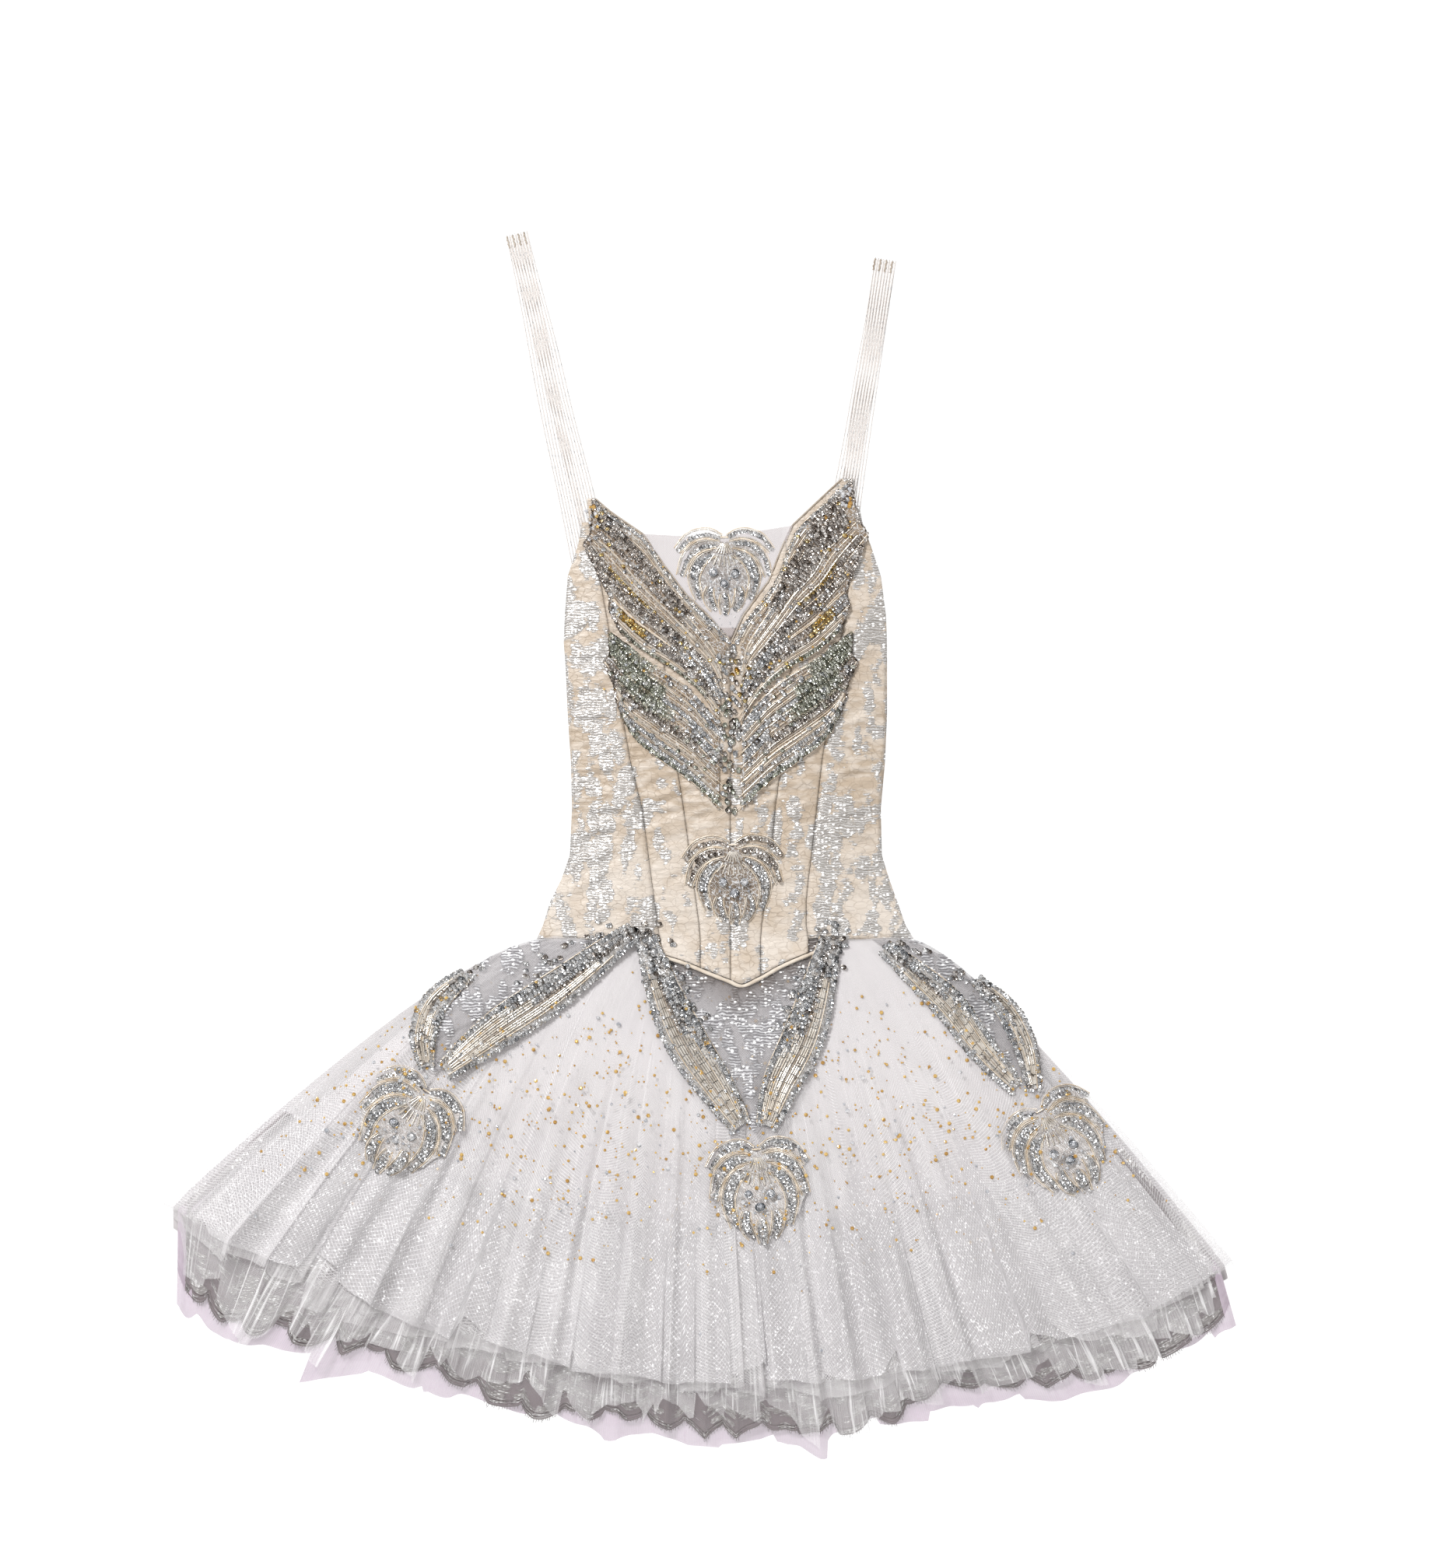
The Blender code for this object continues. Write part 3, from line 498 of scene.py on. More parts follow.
soft_net = net_finish(
    "soft net", NET_WHITE, NET_LILAC, cell=0.0024, air=0.13, thread=0.42, aged=0.3, gathers=0.14
)
frill_net = net_finish(
    "soft frill net", dye(254, 253, 254), dye(246, 245, 247),
    cell=0.0030, air=0.07, thread=0.44, aged=0.3, gathers=0.45,
)
stiff_net = net_finish(
    "stiff net", dye(202, 187, 201), dye(186, 171, 186),
    cell=0.0034, air=0.56, thread=0.4, aged=0.5, gathers=0.1,
)
print("nets:", soft_net.name, frill_net.name, stiff_net.name)

# %% [markdown]
# ## Glitter net
# The layer below has a metal thread knitted through it in a slanted lattice of 4 mm, and glitter fused to
# it. A bump raises the lattice, and the sparkle group adds glints, most of them on its threads. At its top
# and sides the layer thins out, so that no cut edge shows.

# %% Finish: glitter net
GLITTER_WIDTH = 1.30  # m, the cloth's own width
glitter_net, b, shader = finish("glitter net", Roughness=0.5, Specular_IOR_Level=0.3)
place = b.node("UVMap", uv_map="cloth").outputs[0]
threads = b.group(lattice, Place=place, Cell=0.0038, Thread=0.5, Slant=1.1)[0]
loose = b.group(sparkle, Place=place, Scale=520.0, Share=0.13)[0]
knots = b.times(threads, b.group(sparkle, Place=place, Scale=700.0, Share=0.38)[0])
glints = b.math("MAXIMUM", loose, knots)
glitter_clean, glitter_worn = dye(223, 220, 222), dye(204, 201, 203)
ground = b.group(worn, Place=place, Clean=glitter_clean, Worn=glitter_worn, Patch=0.05, Share=0.5)[0]
pale = b.times(threads, 0.4)
b.feed(b.mix(pale, ground, dye(246, 246, 249)), shader["Base Color"])
b.feed(b.times(threads, 0.25), shader["Metallic"])
b.feed(b.math("MULTIPLY_ADD", glints, -0.3, 0.5), shader["Roughness"])
apart = b.split(place)
density = b.math("MULTIPLY_ADD", threads, 0.32, 0.48, clamp=True)
left_side = b.ramp(apart[0], 0.0, 0.02, 0.6, 1.0)
right_side = b.ramp(apart[0], GLITTER_WIDTH, GLITTER_WIDTH - 0.02, 0.6, 1.0)
fade = b.times(b.times(left_side, right_side), b.ramp(apart[1], 0.0, 0.09, 0.1, 1.0))
b.feed(b.times(density, fade), shader["Alpha"])
b.feed(b.mix(glints, (0, 0, 0, 1), (1, 1, 1, 1)), shader["Emission Color"])
b.feed(0.9, shader["Emission Strength"])
b.feed(b.bump(threads, 0.5, 0.0004), shader["Normal"])
print(glitter_net.name)

# %% [markdown]
# ## Silver lace
# The frill under the glitter and the points over the hips are grey lace with silver leaves. The ground is
# see-through, the leaves are dense and ribbed, and here and there the metal flashes. The rows of the ribs
# are painted light and dark in turn, as highlight and shade. The frill has two dark cords along its foot.
# The lace of the front is shaded by the bodice's point, which lies over it.

# %% Finish: silver lace
FRILL_LACE_LENGTH = 0.343  # m, from its gathered top to its foot
NO_FOOT = 9.0  # m, for lace that has no cords: farther off than any cloth reaches
HEM_CORDS = (0.009, 0.022)  # m up from the foot
POINT_X, POINT_SLOPE = 0.011, 0.53  # m to the middle of the bodice's point, and how fast it rises beside it
POINT_SHADE = (-0.205, -0.165)  # m, heights at the middle between which the shading grows
POINT_SHADOW, CORD_GREY, FLASH = dye(92, 80, 72), dye(108, 96, 98), dye(254, 254, 254)


def lace_finish(name, ground, leaf, dark, air, cover, size, shaded, foot):
    made, b, shader = finish(name, Roughness=0.45)
    place = b.node("UVMap", uv_map="cloth").outputs[0]
    found = b.group(motifs, Place=place, Size=size, Cover=cover)
    rows = b.group(drawn, Place=place, Cell=0.007, Row=0.0028)
    streaks = b.noise(b.turned(place, 0.0, (110.0, 560.0, 110.0)), 1.0, 2.0)["Fac"]
    mesh = b.group(lattice, Place=place, Cell=0.0024, Thread=0.6, Slant=1.0)[0]
    glints = b.group(sparkle, Place=b.turned(place, 0.0, (0.6, 1.0, 1.0)), Scale=460.0, Share=0.26)[0]
    dense = b.ramp(b.math("MULTIPLY_ADD", streaks, 0.9, found["Depth"]), 0.86, 1.04)
    # painted highlight and shade: the leaves' rows go from the dark colour to the leaf colour and back
    lit_rows = b.times(rows["Rows"], b.ramp(streaks, 0.35, 0.6, 0.3, 1.0))
    silver = b.mix(lit_rows, dark, leaf)
    colour = b.mix(dense, ground, silver)
    flash = b.times(glints, dense)
    apart = b.split(b.node("TexCoord").outputs["Object"])
    aside = b.math("ABSOLUTE", b.math("SUBTRACT", apart[0], POINT_X))
    under_point = b.ramp(b.math("MULTIPLY_ADD", aside, -POINT_SLOPE, apart[1]), *POINT_SHADE, 0.0, shaded)
    colour = b.mix(under_point, colour, POINT_SHADOW)
    to_foot = b.math("SUBTRACT", foot, b.split(place)[1])
    off_cords = [b.math("ABSOLUTE", b.math("SUBTRACT", to_foot, at)) for at in HEM_CORDS]
    corded = b.math("MAXIMUM", *(b.ramp(off, 0.0026, 0.0014) for off in off_cords))
    colour = b.mix(corded, colour, CORD_GREY)
    b.feed(b.mix(flash, colour, FLASH), shader["Base Color"])
    b.feed(b.times(dense, 0.35), shader["Metallic"])
    b.feed(b.math("MULTIPLY_ADD", flash, -0.3, 0.5), shader["Roughness"])
    b.feed(b.mix(flash, (0, 0, 0, 1), (1, 1, 1, 1)), shader["Emission Color"])
    b.feed(0.5, shader["Emission Strength"])
    body = b.math("MAXIMUM", b.times(dense, 0.94), b.times(rows["Cells"], 0.7))
    body = b.math("MAXIMUM", body, b.times(corded, 0.9))
    open_ground = b.math("MULTIPLY_ADD", mesh, 0.3, air)
    b.feed(b.math("MAXIMUM", body, open_ground, clamp=True), shader["Alpha"])
    relief = b.times(dense, b.math("MULTIPLY_ADD", rows["Rows"], 0.7, 0.3))
    b.feed(b.bump(relief, 0.8, 0.0009), shader["Normal"])
    return made


frill_lace = lace_finish(
    "frill lace", LACE_GREY, dye(238, 236, 235), dye(140, 132, 131),
    air=0.60, cover=0.36, size=0.020, shaded=0.0, foot=FRILL_LACE_LENGTH,
)
hip_lace = lace_finish(
    "hip lace", dye(180, 177, 179), dye(230, 230, 233), dye(126, 123, 126),
    air=0.42, cover=0.38, size=0.013, shaded=0.75, foot=NO_FOOT,
)
print("laces:", frill_lace.name, hip_lace.name)

# %% [markdown]
# ## Bodice brocade
# The bodice is cream satin under silver lace. The lace leaves hide the satin, and where it is open the
# satin shows with fine brown cell lines. Metallic follows the leaves, so they turn from grey to white as
# the light moves, while satin keeps a soft broad shine. Its folds are darkened with brown painted shade,
# most round the waist, and the rows in the leaves are painted light and dark in turn, as highlight and shade.

# %% Finish: brocade


def brocade_finish(name, cover, aged, shade_above):
    made, b, shader = finish(name, Roughness=0.5, Sheen_Weight=0.1)
    place = b.node("TexCoord").outputs["Object"]
    satin = b.group(worn, Place=place, Clean=CREAM, Worn=SHADOW_CREAM, Patch=0.035, Share=aged)[0]
    crumple = b.noise(b.turned(place, 0.0, (55.0, 170.0, 55.0)), 1.0, 3.0)["Fac"]
    up = b.split(place)[1]
    # painted shade: brown round the waist, deepest in the crumpled folds, none on the hips and less higher up
    waist = b.times(b.ramp(up, -0.07, 0.02), b.ramp(up, 0.06, 0.16, 1.0, shade_above))
    fold = b.ramp(crumple, 0.60, 0.42, 0.25, 0.85)
    satin = b.mix(b.times(waist, fold), satin, FOLD_SHADE_BROWN)
    found = b.group(motifs, Place=place, Size=0.017, Cover=cover)
    rows = b.group(drawn, Place=place, Cell=0.0075, Row=0.0024)
    streaks = b.noise(b.turned(place, 0.0, (110.0, 520.0, 110.0)), 1.0, 3.0)["Fac"]
    glints = b.group(sparkle, Place=b.turned(place, 0.0, (0.55, 1.0, 1.0)), Scale=520.0, Share=0.24)[0]
    here = b.ramp(b.noise(place, 30.0, 2.0)["Fac"], 0.4, 0.6, 0.1, 0.42)
    lined = b.mix(b.times(rows["Cells"], here), satin, CELL_BROWN)
    leaf = b.ramp(b.math("MULTIPLY_ADD", streaks, 0.9, found["Depth"]), 0.88, 1.06)
    # painted highlight and shade: the leaves' rows are light silver and dark grey in turn
    lit_rows = b.times(rows["Rows"], b.ramp(streaks, 0.35, 0.62, 0.35, 1.0))
    silvered = b.mix(b.times(leaf, 0.85), lined, b.mix(lit_rows, RIB_SHADE_SILVER, SILVER))
    flash = b.times(glints, leaf)
    b.feed(b.mix(flash, silvered, FLASH), shader["Base Color"])
    b.feed(b.times(leaf, 0.35), shader["Metallic"])
    b.feed(b.math("MULTIPLY_ADD", leaf, -0.1, 0.46), shader["Roughness"])
    b.feed(b.mix(flash, (0, 0, 0, 1), (1, 1, 1, 1)), shader["Emission Color"])
    b.feed(0.5, shader["Emission Strength"])
    thick = b.times(leaf, b.math("MULTIPLY_ADD", rows["Rows"], 0.5, 0.4))
    crumpled = b.math("MULTIPLY_ADD", crumple, 3.0, thick)
    relief = b.math("ADD", crumpled, b.times(rows["Cells"], 0.25))
    b.feed(b.bump(relief, 0.8, 0.0009), shader["Normal"])
    return made


side_brocade = brocade_finish("side brocade", cover=0.40, aged=0.6, shade_above=0.7)
front_brocade = brocade_finish("front brocade", cover=0.24, aged=0.8, shade_above=0.5)
print("brocades:", side_brocade.name, front_brocade.name)

# %% [markdown]
# ## Satin and thread
# Satin piping, the back and the stitches need plain fibre finishes: a fine twill in the bump, and colour
# that wanders a little. Sheen gives the cloth its pale edge.

# %% Finish: satin and thread


def fibre_finish(name, clean, shade, rough, row, bump, sheen=0.3):
    made, b, shader = finish(name, Roughness=rough, Sheen_Weight=sheen)
    place = b.node("TexCoord").outputs["Object"]
    colour = b.group(worn, Place=place, Clean=clean, Worn=shade, Patch=0.02, Share=0.7)[0]
    rows = b.group(drawn, Place=b.turned(place, 35.0), Cell=0.006, Row=row)["Rows"]
    b.feed(b.mix(b.times(rows, 0.25), colour, shade), shader["Base Color"])
    b.feed(b.bump(rows, bump, 0.0003), shader["Normal"])
    return made


satin = fibre_finish("satin", IVORY, SHADOW_CREAM, 0.38, 0.0006, 0.3)
seam_thread = fibre_finish("seam thread", dye(176, 156, 134), dye(140, 122, 104), 0.7, 0.0005, 0.5)
taupe_thread = fibre_finish("taupe thread", TAUPE, dye(150, 130, 110), 0.55, 0.0012, 0.8, 0.1)
pale_thread = fibre_finish("pale thread", dye(227, 214, 202), dye(194, 178, 164), 0.55, 0.0012, 0.8, 0.1)
print("fibres:", satin.name, seam_thread.name, taupe_thread.name, pale_thread.name)

# %% [markdown]
# ## Sequins, glass and the beaded ground
# Sequins are thin metal-coated cups, so they are Metallic and fairly smooth, and each differs a little from
# the next. Bugles are glass lined with silver. Both get their variety from noise about one bead wide.

# %% Finish: metal and glass


def bead_finish(name, bright, dark, rough, metal, grain=190.0, coat=0.3):
    made, b, shader = finish(name, Coat_Weight=coat, Coat_Roughness=0.1)
    place = b.node("TexCoord").outputs["Object"]
    each = b.noise(place, grain, 1.0)["Fac"]
    b.feed(b.mix(b.ramp(each, 0.35, 0.65), bright, dark), shader["Base Color"])
    b.feed(b.ramp(each, 0.3, 0.7, rough * 0.7, rough * 1.3), shader["Roughness"])
    b.feed(metal, shader["Metallic"])
    return made


silver_sequin = bead_finish("silver sequin", dye(252, 252, 252), dye(200, 202, 205), 0.16, 1.0)
steel_sequin = bead_finish("steel sequin", dye(238, 234, 230), dye(158, 150, 144), 0.2, 1.0)
gold_sequin = bead_finish("gold sequin", dye(232, 212, 160), dye(188, 163, 108), 0.2, 1.0)
moss_sequin = bead_finish("moss sequin", dye(222, 223, 215), dye(172, 175, 164), 0.22, 1.0)
clear_bugle = bead_finish("clear bugle", dye(226, 220, 211), dye(188, 179, 167), 0.24, 0.4, 120.0, 0.4)
seed_bead = bead_finish("seed bead", dye(236, 224, 208), dye(204, 186, 162), 0.35, 0.1, 160.0, 0.4)
amber_stone = bead_finish("amber stone", dye(228, 192, 118), dye(188, 144, 74), 0.2, 0.3, 160.0, 0.6)
clear_stone = bead_finish("clear stone", dye(250, 250, 252), dye(196, 200, 208), 0.08, 0.6, 160.0, 1.0)


def ground_finish(name, clean, shade, metal):
    made, b, shader = finish(name, Roughness=0.5)
    place = b.node("TexCoord").outputs["Object"]
    base = b.group(worn, Place=place, Clean=clean, Worn=shade, Patch=0.012, Share=0.9)[0]
    rows = b.group(drawn, Place=b.turned(place, 50.0), Cell=0.004, Row=0.0018)
    glints = b.group(sparkle, Place=place, Scale=420.0, Share=0.2)[0]
    b.feed(b.mix(glints, b.mix(rows["Cells"], base, SILVER), SILVER), shader["Base Color"])
    b.feed(b.times(rows["Rows"], metal), shader["Metallic"])
    b.feed(b.bump(rows["Rows"], 0.9, 0.0008), shader["Normal"])
    return made


spray_ground = ground_finish("spray ground", dye(168, 150, 130), dye(124, 106, 90), 0.3)
band_ground = ground_finish("band ground", dye(186, 181, 176), dye(146, 141, 136), 0.3)
palmette_ground = ground_finish("palmette ground", dye(212, 206, 203), dye(188, 180, 176), 0.1)
neck_ground = ground_finish("neck ground", dye(184, 177, 173), dye(156, 148, 143), 0.1)
belly_ground = ground_finish("belly ground", dye(160, 145, 130), dye(120, 106, 94), 0.2)
print("beads and their ground:", len(bpy.data.materials), "materials so far")

# %% [markdown]
# ## The skirt's fan
# All the skirt's layers share one fan of pleats. s runs from the left edge, -1, to the right edge, 1, and r
# from the hip, 0, to the hem of the top net, 1, and on to the lowest frill, 2. With such a map a layer can
# be described by how far down it reaches, whatever the skirt's outline.

# %% The fan and its hems
HIP_LINE = -118.3
FanSide = namedtuple("FanSide", "s x y low_x low_y")
HEMS = [FanSide(*p) for p in (
    (-1.0, -546, -368, -541, -455), (-0.75, -398, -440, -446, -527), (-0.5, -258, -492, -278, -555),
    (-0.25, -126, -527, -134, -600), (0.0, -5, -541, -5, -604), (0.25, 108, -538, 118, -610),
    (0.5, 225, -520, 242, -562), (0.75, 358, -488, 385, -553), (1.0, 489, -426, 503, -478),
)]
HIP_MIDDLE, HIP_HALF = -2, 182
FLARE_MIDDLE, FLARE_HALF, FLARE_LINE, FLARE_SAG = -16, 259, -118, 12  # where a fold bends down and out
FLARE_SHARE = 0.12
TUCK = 400.0  # how fast the top of a net runs up under the bodice where r is below 0


def fan(s, r):
    """Where s, r of the fan lies on the floor, for arrays of the same shape."""
    s, r = np.broadcast_arrays(np.asarray(s, float), np.asarray(r, float))
    start = plane(HIP_MIDDLE + HIP_HALF * s, HIP_LINE)
    flare = plane(FLARE_MIDDLE + FLARE_HALF * s, FLARE_LINE - FLARE_SAG * (2 - s * s))
    hem = plane(eased(HEMS, "s", "x", s), eased(HEMS, "s", "y", s))
    low = plane(eased(HEMS, "s", "low_x", s), eased(HEMS, "s", "low_y", s))
    tuck = plane(0.0, np.clip(-r, 0, None) * TUCK)
    k = FLARE_SHARE
    f = ((np.sqrt(k * k + (1 - 2 * k) * np.clip(r, 0, 1)) - k) / (1 - 2 * k))[..., None]
    inside = start * (1 - f) ** 2 + flare * 2 * f * (1 - f) + hem * f * f
    return inside + tuck + (low - hem) * np.clip(r - 1, 0, None)[..., None]


print("hem of the top net, middle:", fan(0.0, 1.0).round(0))

# %% [markdown]
# ## Gathered nets
# A gathered net falls in folds that lean over and lie on themselves. To get that, the cloth's own width u
# is pushed to and fro along the fan while it rises and sinks: s = u + lean * sin, z = lift * sin. Where
# lean is over 1 the cloth doubles back, and a see-through net shows the doubled part as a bright pleat.

# %% Uneven cuts


def straight_noise(at, seed):
    """As smooth_noise, but it goes straight from value to value, as scissors do."""
    at = np.asarray(at, float)
    values = np.random.default_rng(seed).uniform(-1, 1, 512)
    i = np.floor(at).astype(int)
    return values[i % 512] * (1 - at + i) + values[(i + 1) % 512] * (at - i)


def flaps(at, seed):
    """A cut edge of slanting flaps between -1 and 1: each has its own slant and its own length."""
    made = np.random.default_rng(seed).uniform(-1, 1, (512, 2))
    i = np.floor(at).astype(int)
    slant, longer = made[i % 512].T
    return 0.9 * np.sign(slant) * (at - i - 0.5) + 0.55 * longer


print("three flaps:", flaps(np.array([0.1, 1.1, 2.1]), 8).round(2))

# %% [markdown]
# A frill's numbers are its reach down the fan, how its hem is cut, and how its pleats lean and rise. The
# pleats open from from_r down. All the wandering comes from soft waves with the frill's own seed, so each
# layer keeps its folds on every run.

# %% Fold a frill
Frill = namedtuple(
    "Frill", "first hem ragged side pleats uneven lean lift broad from_r rows seed lobes steps scallops",
    defaults=(0.0, 0.0, 0),
)
PLEAT_POINTS = 12
SCALLOP_DEPTH = 0.16


def pleated(frill):
    """Where a frill's points come to lie: u and share of the cloth, s and r of the fan, and their rise."""
    n = frill.pleats * PLEAT_POINTS
    u = np.linspace(0, 1, n + 1)
    drift = 0.35 / frill.pleats * smooth_noise(u * frill.pleats * 0.8, frill.seed)
    theta = math.tau * frill.pleats * (u + drift)
    theta += frill.uneven * smooth_noise(u * frill.pleats * 0.22, frill.seed + 7)
    which = theta / math.tau
    lively = smoothstep(0.5 + 0.9 * smooth_noise(which * 0.3 + 9.3, frill.seed + 1))
    vigour = 0.2 + 0.65 * lively + 0.15 * smooth_noise(which * 1.1, frill.seed + 9)
    cut = straight_noise(which * 0.45, frill.seed + 2) + 0.6 * straight_noise(which * 1.9, frill.seed + 3)
    hem = frill.hem + frill.ragged * cut / 1.6 + frill.lobes * vigour * np.sin(theta + 0.7)
    hem += frill.steps * flaps(which * 0.7 + 0.6 * smooth_noise(which * 0.4, frill.seed + 6), frill.seed + 8)
    hem += SCALLOP_DEPTH * bool(frill.scallops) * (np.abs(np.sin(math.pi * frill.scallops * u)) ** 0.6 - 0.5)
    share = np.linspace(0, 1, frill.rows + 1)[:, None]
    r = frill.first + (hem[None] - frill.first) * share
    open_up = smoothstep((r - frill.from_r) / max(0.05, frill.hem - frill.from_r) * 0.9 + 0.1)
    edge = smoothstep((1 - np.abs(2 * u - 1)) / 0.06)[None]
    push = edge * frill.lean * vigour * np.sin(theta) / (math.tau * frill.pleats) * 2
    s = frill.side * ((2 * u - 1)[None] + push * open_up)
    billows = smooth_noise(u * 17 + 0.3, frill.seed + 4) + 0.5 * smooth_noise(u * 41, frill.seed + 5)
    broad = frill.broad * billows
    rise = open_up * edge * (frill.lift * vigour * (0.5 + 0.5 * np.sin(theta)) + broad)[None]
    return u, share, s, r, rise


print("a frill has", len(Frill._fields), "numbers")

# %% [markdown]
# Laying a pleated cloth is the same for every net: find its solid under each point, add the rise, and stay
# below any beadwork sewn through it. Past the solid's edge the cloth sinks slowly towards the floor.

# %% Lay a gathered layer
LOWEST = 0.8  # mm, the least height of a net over the floor
BESIDE_PLATE, BELOW_PLATE = 5, 2.2  # mm: how near beadwork a net ducks down, and how far under it


def gathered(name, node, frill, material, width, length, under=None):
    """One layer of net over its solid: a row of leaning pleats, with its hem cut unevenly."""
    u, share, s, r, rise = pleated(frill)
    flat = fan(s, r)
    ground = Ground(node)
    z = np.zeros(r.shape)
    for j in range(r.shape[1]):
        last = None
        for i in range(r.shape[0]):
            found = ground.height(*flat[i, j])
            if found is None and last is None:
                found = ground.height(*fan(s[i, j] * 0.97, r[i, j] + 0.03))
            if found is None:
                found = max(1.2, (last if last is not None else 4.0) - 0.8)
            z[i, j] = last = found
    z += rise - 0.5
    if under:
        for i, j in np.ndindex(*r.shape):
            for dx, dy in ((0, 0), (1, 0), (-1, 0), (0, 1), (0, -1)):
                plate = under.height(flat[i, j, 0] + dx * BESIDE_PLATE, flat[i, j, 1] + dy * BESIDE_PLATE)
                if plate is not None:
                    z[i, j] = min(z[i, j], plate - BELOW_PLATE)
    z = np.maximum(z, LOWEST)
    uv = plane(u * width, share * length).reshape(-1, 2)
    return put(name, raised(flat, z), grid_faces(*r.shape)[:, ::-1], material, (node,), flat_uv=uv)


def tell_area(name):
    faces = cloth[name].data.polygons
    print(name, "area", round(sum(face.area for face in faces), 4), "m2,", len(faces), "faces")


cloth = {}
print("sheets of cloth so far:", len(cloth))

# %% [markdown]
# ## The nets, from the floor up
# Five layers show. The lowest is a stiff lilac-grey net, then grey lace, soft net, glitter net, and plain
# soft net over all. Each has a width and a length of its own cloth, on which its finish is laid out, so that
# the threads keep their size.

# %% Lay the nets
CLOTH_TO_HEM = 330.0  # mm of cloth from the hip, r = 0, to the top net's hem, r = 1
NETS = (  # name, node, finish, slot, cloth width, frill
    ("stiff_net_frill", "net_frill", stiff_net, "stiff_net", 1300.0, Frill(
        first=0.66, hem=1.88, ragged=0.12, lobes=0.06, steps=0.22, side=0.97, pleats=24,
        uneven=2.0, lean=0.5, lift=2.5, broad=1.0, from_r=1.3, rows=12, seed=11)),
    ("lace_frill_cloth", "lace_frill", frill_lace, "silver_lace", 1200.0, Frill(
        first=0.66, hem=1.70, ragged=0.30, scallops=26, side=0.97, pleats=36,
        uneven=1.2, lean=0.7, lift=3.5, broad=1.0, from_r=1.05, rows=14, seed=21)),
    ("soft_net_frill", "soft_frill", frill_net, "soft_net", 1700.0, Frill(
        first=0.66, hem=1.58, ragged=0.26, lobes=0.04, steps=0.34, side=0.97, pleats=56,
        uneven=3.2, lean=1.9, lift=6.0, broad=1.2, from_r=0.93, rows=14, seed=31)),
    ("glitter_net_skirt", "glitter_net", glitter_net, "glitter_net", GLITTER_WIDTH / MM, Frill(
        first=0.44, hem=1.04, ragged=0.04, steps=0.10, side=0.995, pleats=24,
        uneven=2.5, lean=1.3, lift=6.0, broad=4.5, from_r=0.5, rows=20, seed=41)),
    ("top_net_skirt", "top_net", soft_net, "soft_net", 1500.0, Frill(
        first=-0.012, hem=1.14, ragged=0.12, steps=0.20, side=0.995, pleats=30,
        uneven=3.0, lean=2.2, lift=5.0, broad=7.5, from_r=0.08, rows=42, seed=51)),
)
plates = Ground(*(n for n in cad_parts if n.startswith(("band_", "palmette_", "hip_lace_"))))
for name, node, net, slot, width, frill in NETS:
    length = CLOTH_TO_HEM * (frill.hem - frill.first)
    under = plates if node in ("top_net", "glitter_net") else None
    cloth[name] = gathered(name, node, frill, net, width, length, under)
    tell_area(name)

# %% [markdown]
# ## The hidden heap and the back of the skirt
# Under the nets that show lie more frills and the back of the skirt. So many layers look solid from above,
# and they give the skirt its height and whiteness. Each of the two is one gathered shell.

# %% Lay the inner frills and the back
packed_net, b, shader = finish("packed net", Roughness=0.9)
place = b.node("UVMap", uv_map="cloth").outputs[0]
packed_clean, packed_worn = dye(208, 204, 205), dye(190, 186, 187)
packed = b.group(worn, Place=place, Clean=packed_clean, Worn=packed_worn, Patch=0.05, Share=0.5)[0]
threads = b.group(lattice, Place=place, Cell=0.003, Thread=0.6, Slant=0.8)[0]
b.feed(packed, shader["Base Color"])
b.feed(b.bump(threads, 0.3, 0.0004), shader["Normal"])
INNER_WIDTH, INNER_LENGTH = 1500.0, 380.0
INNER = (
    ("inner_net_frills", "inner_frills", Frill(
        first=0.0, hem=0.90, ragged=0.015, side=0.93, pleats=36,
        uneven=0.0, lean=0.8, lift=1.0, broad=0.0, from_r=0.3, rows=20, seed=61)),
    ("back_net_skirt", "skirt_back", Frill(
        first=0.0, hem=1.24, ragged=0.10, side=0.98, pleats=36,
        uneven=0.0, lean=0.8, lift=0.5, broad=0.0, from_r=0.6, rows=16, seed=71)),
)
for name, node, frill in INNER:
    cloth[name] = gathered(name, node, frill, packed_net, INNER_WIDTH, INNER_LENGTH)
    tell_area(name)

# %% [markdown]
# ## Hip lace
# Points of silver lace lie over the hips and the front of the skirt. Each follows the fan down to a reach
# that changes across it, and its lower edge is cut round its motifs in small scallops.

# %% Lay the hip lace
LacePoint = namedtuple("LacePoint", "s reach")
HIP_LACE_COLUMNS, HIP_LACE_ROWS = 121, 41
HIP_LACES = {  # each point ends under the bands that frame it
    "left": (
        (-0.985, 0.08), (-0.958, 0.16), (-0.932, 0.257), (-0.875, 0.347), (-0.80, 0.41), (-0.758, 0.41),
        (-0.708, 0.295), (-0.613, 0.165), (-0.50, 0.012),
    ),
    "centre": (
        (-0.41, 0.012), (-0.198, 0.168), (-0.10, 0.27), (0.0, 0.367), (0.07, 0.44), (0.145, 0.44),
        (0.198, 0.363), (0.288, 0.272), (0.373, 0.17), (0.54, 0.012),
    ),
    "right": (
        (0.775, 0.03), (0.81, 0.137), (0.833, 0.218), (0.842, 0.36), (0.86, 0.44), (0.887, 0.44),
        (0.94, 0.36), (0.985, 0.25), (0.992, 0.12),
    ),
}
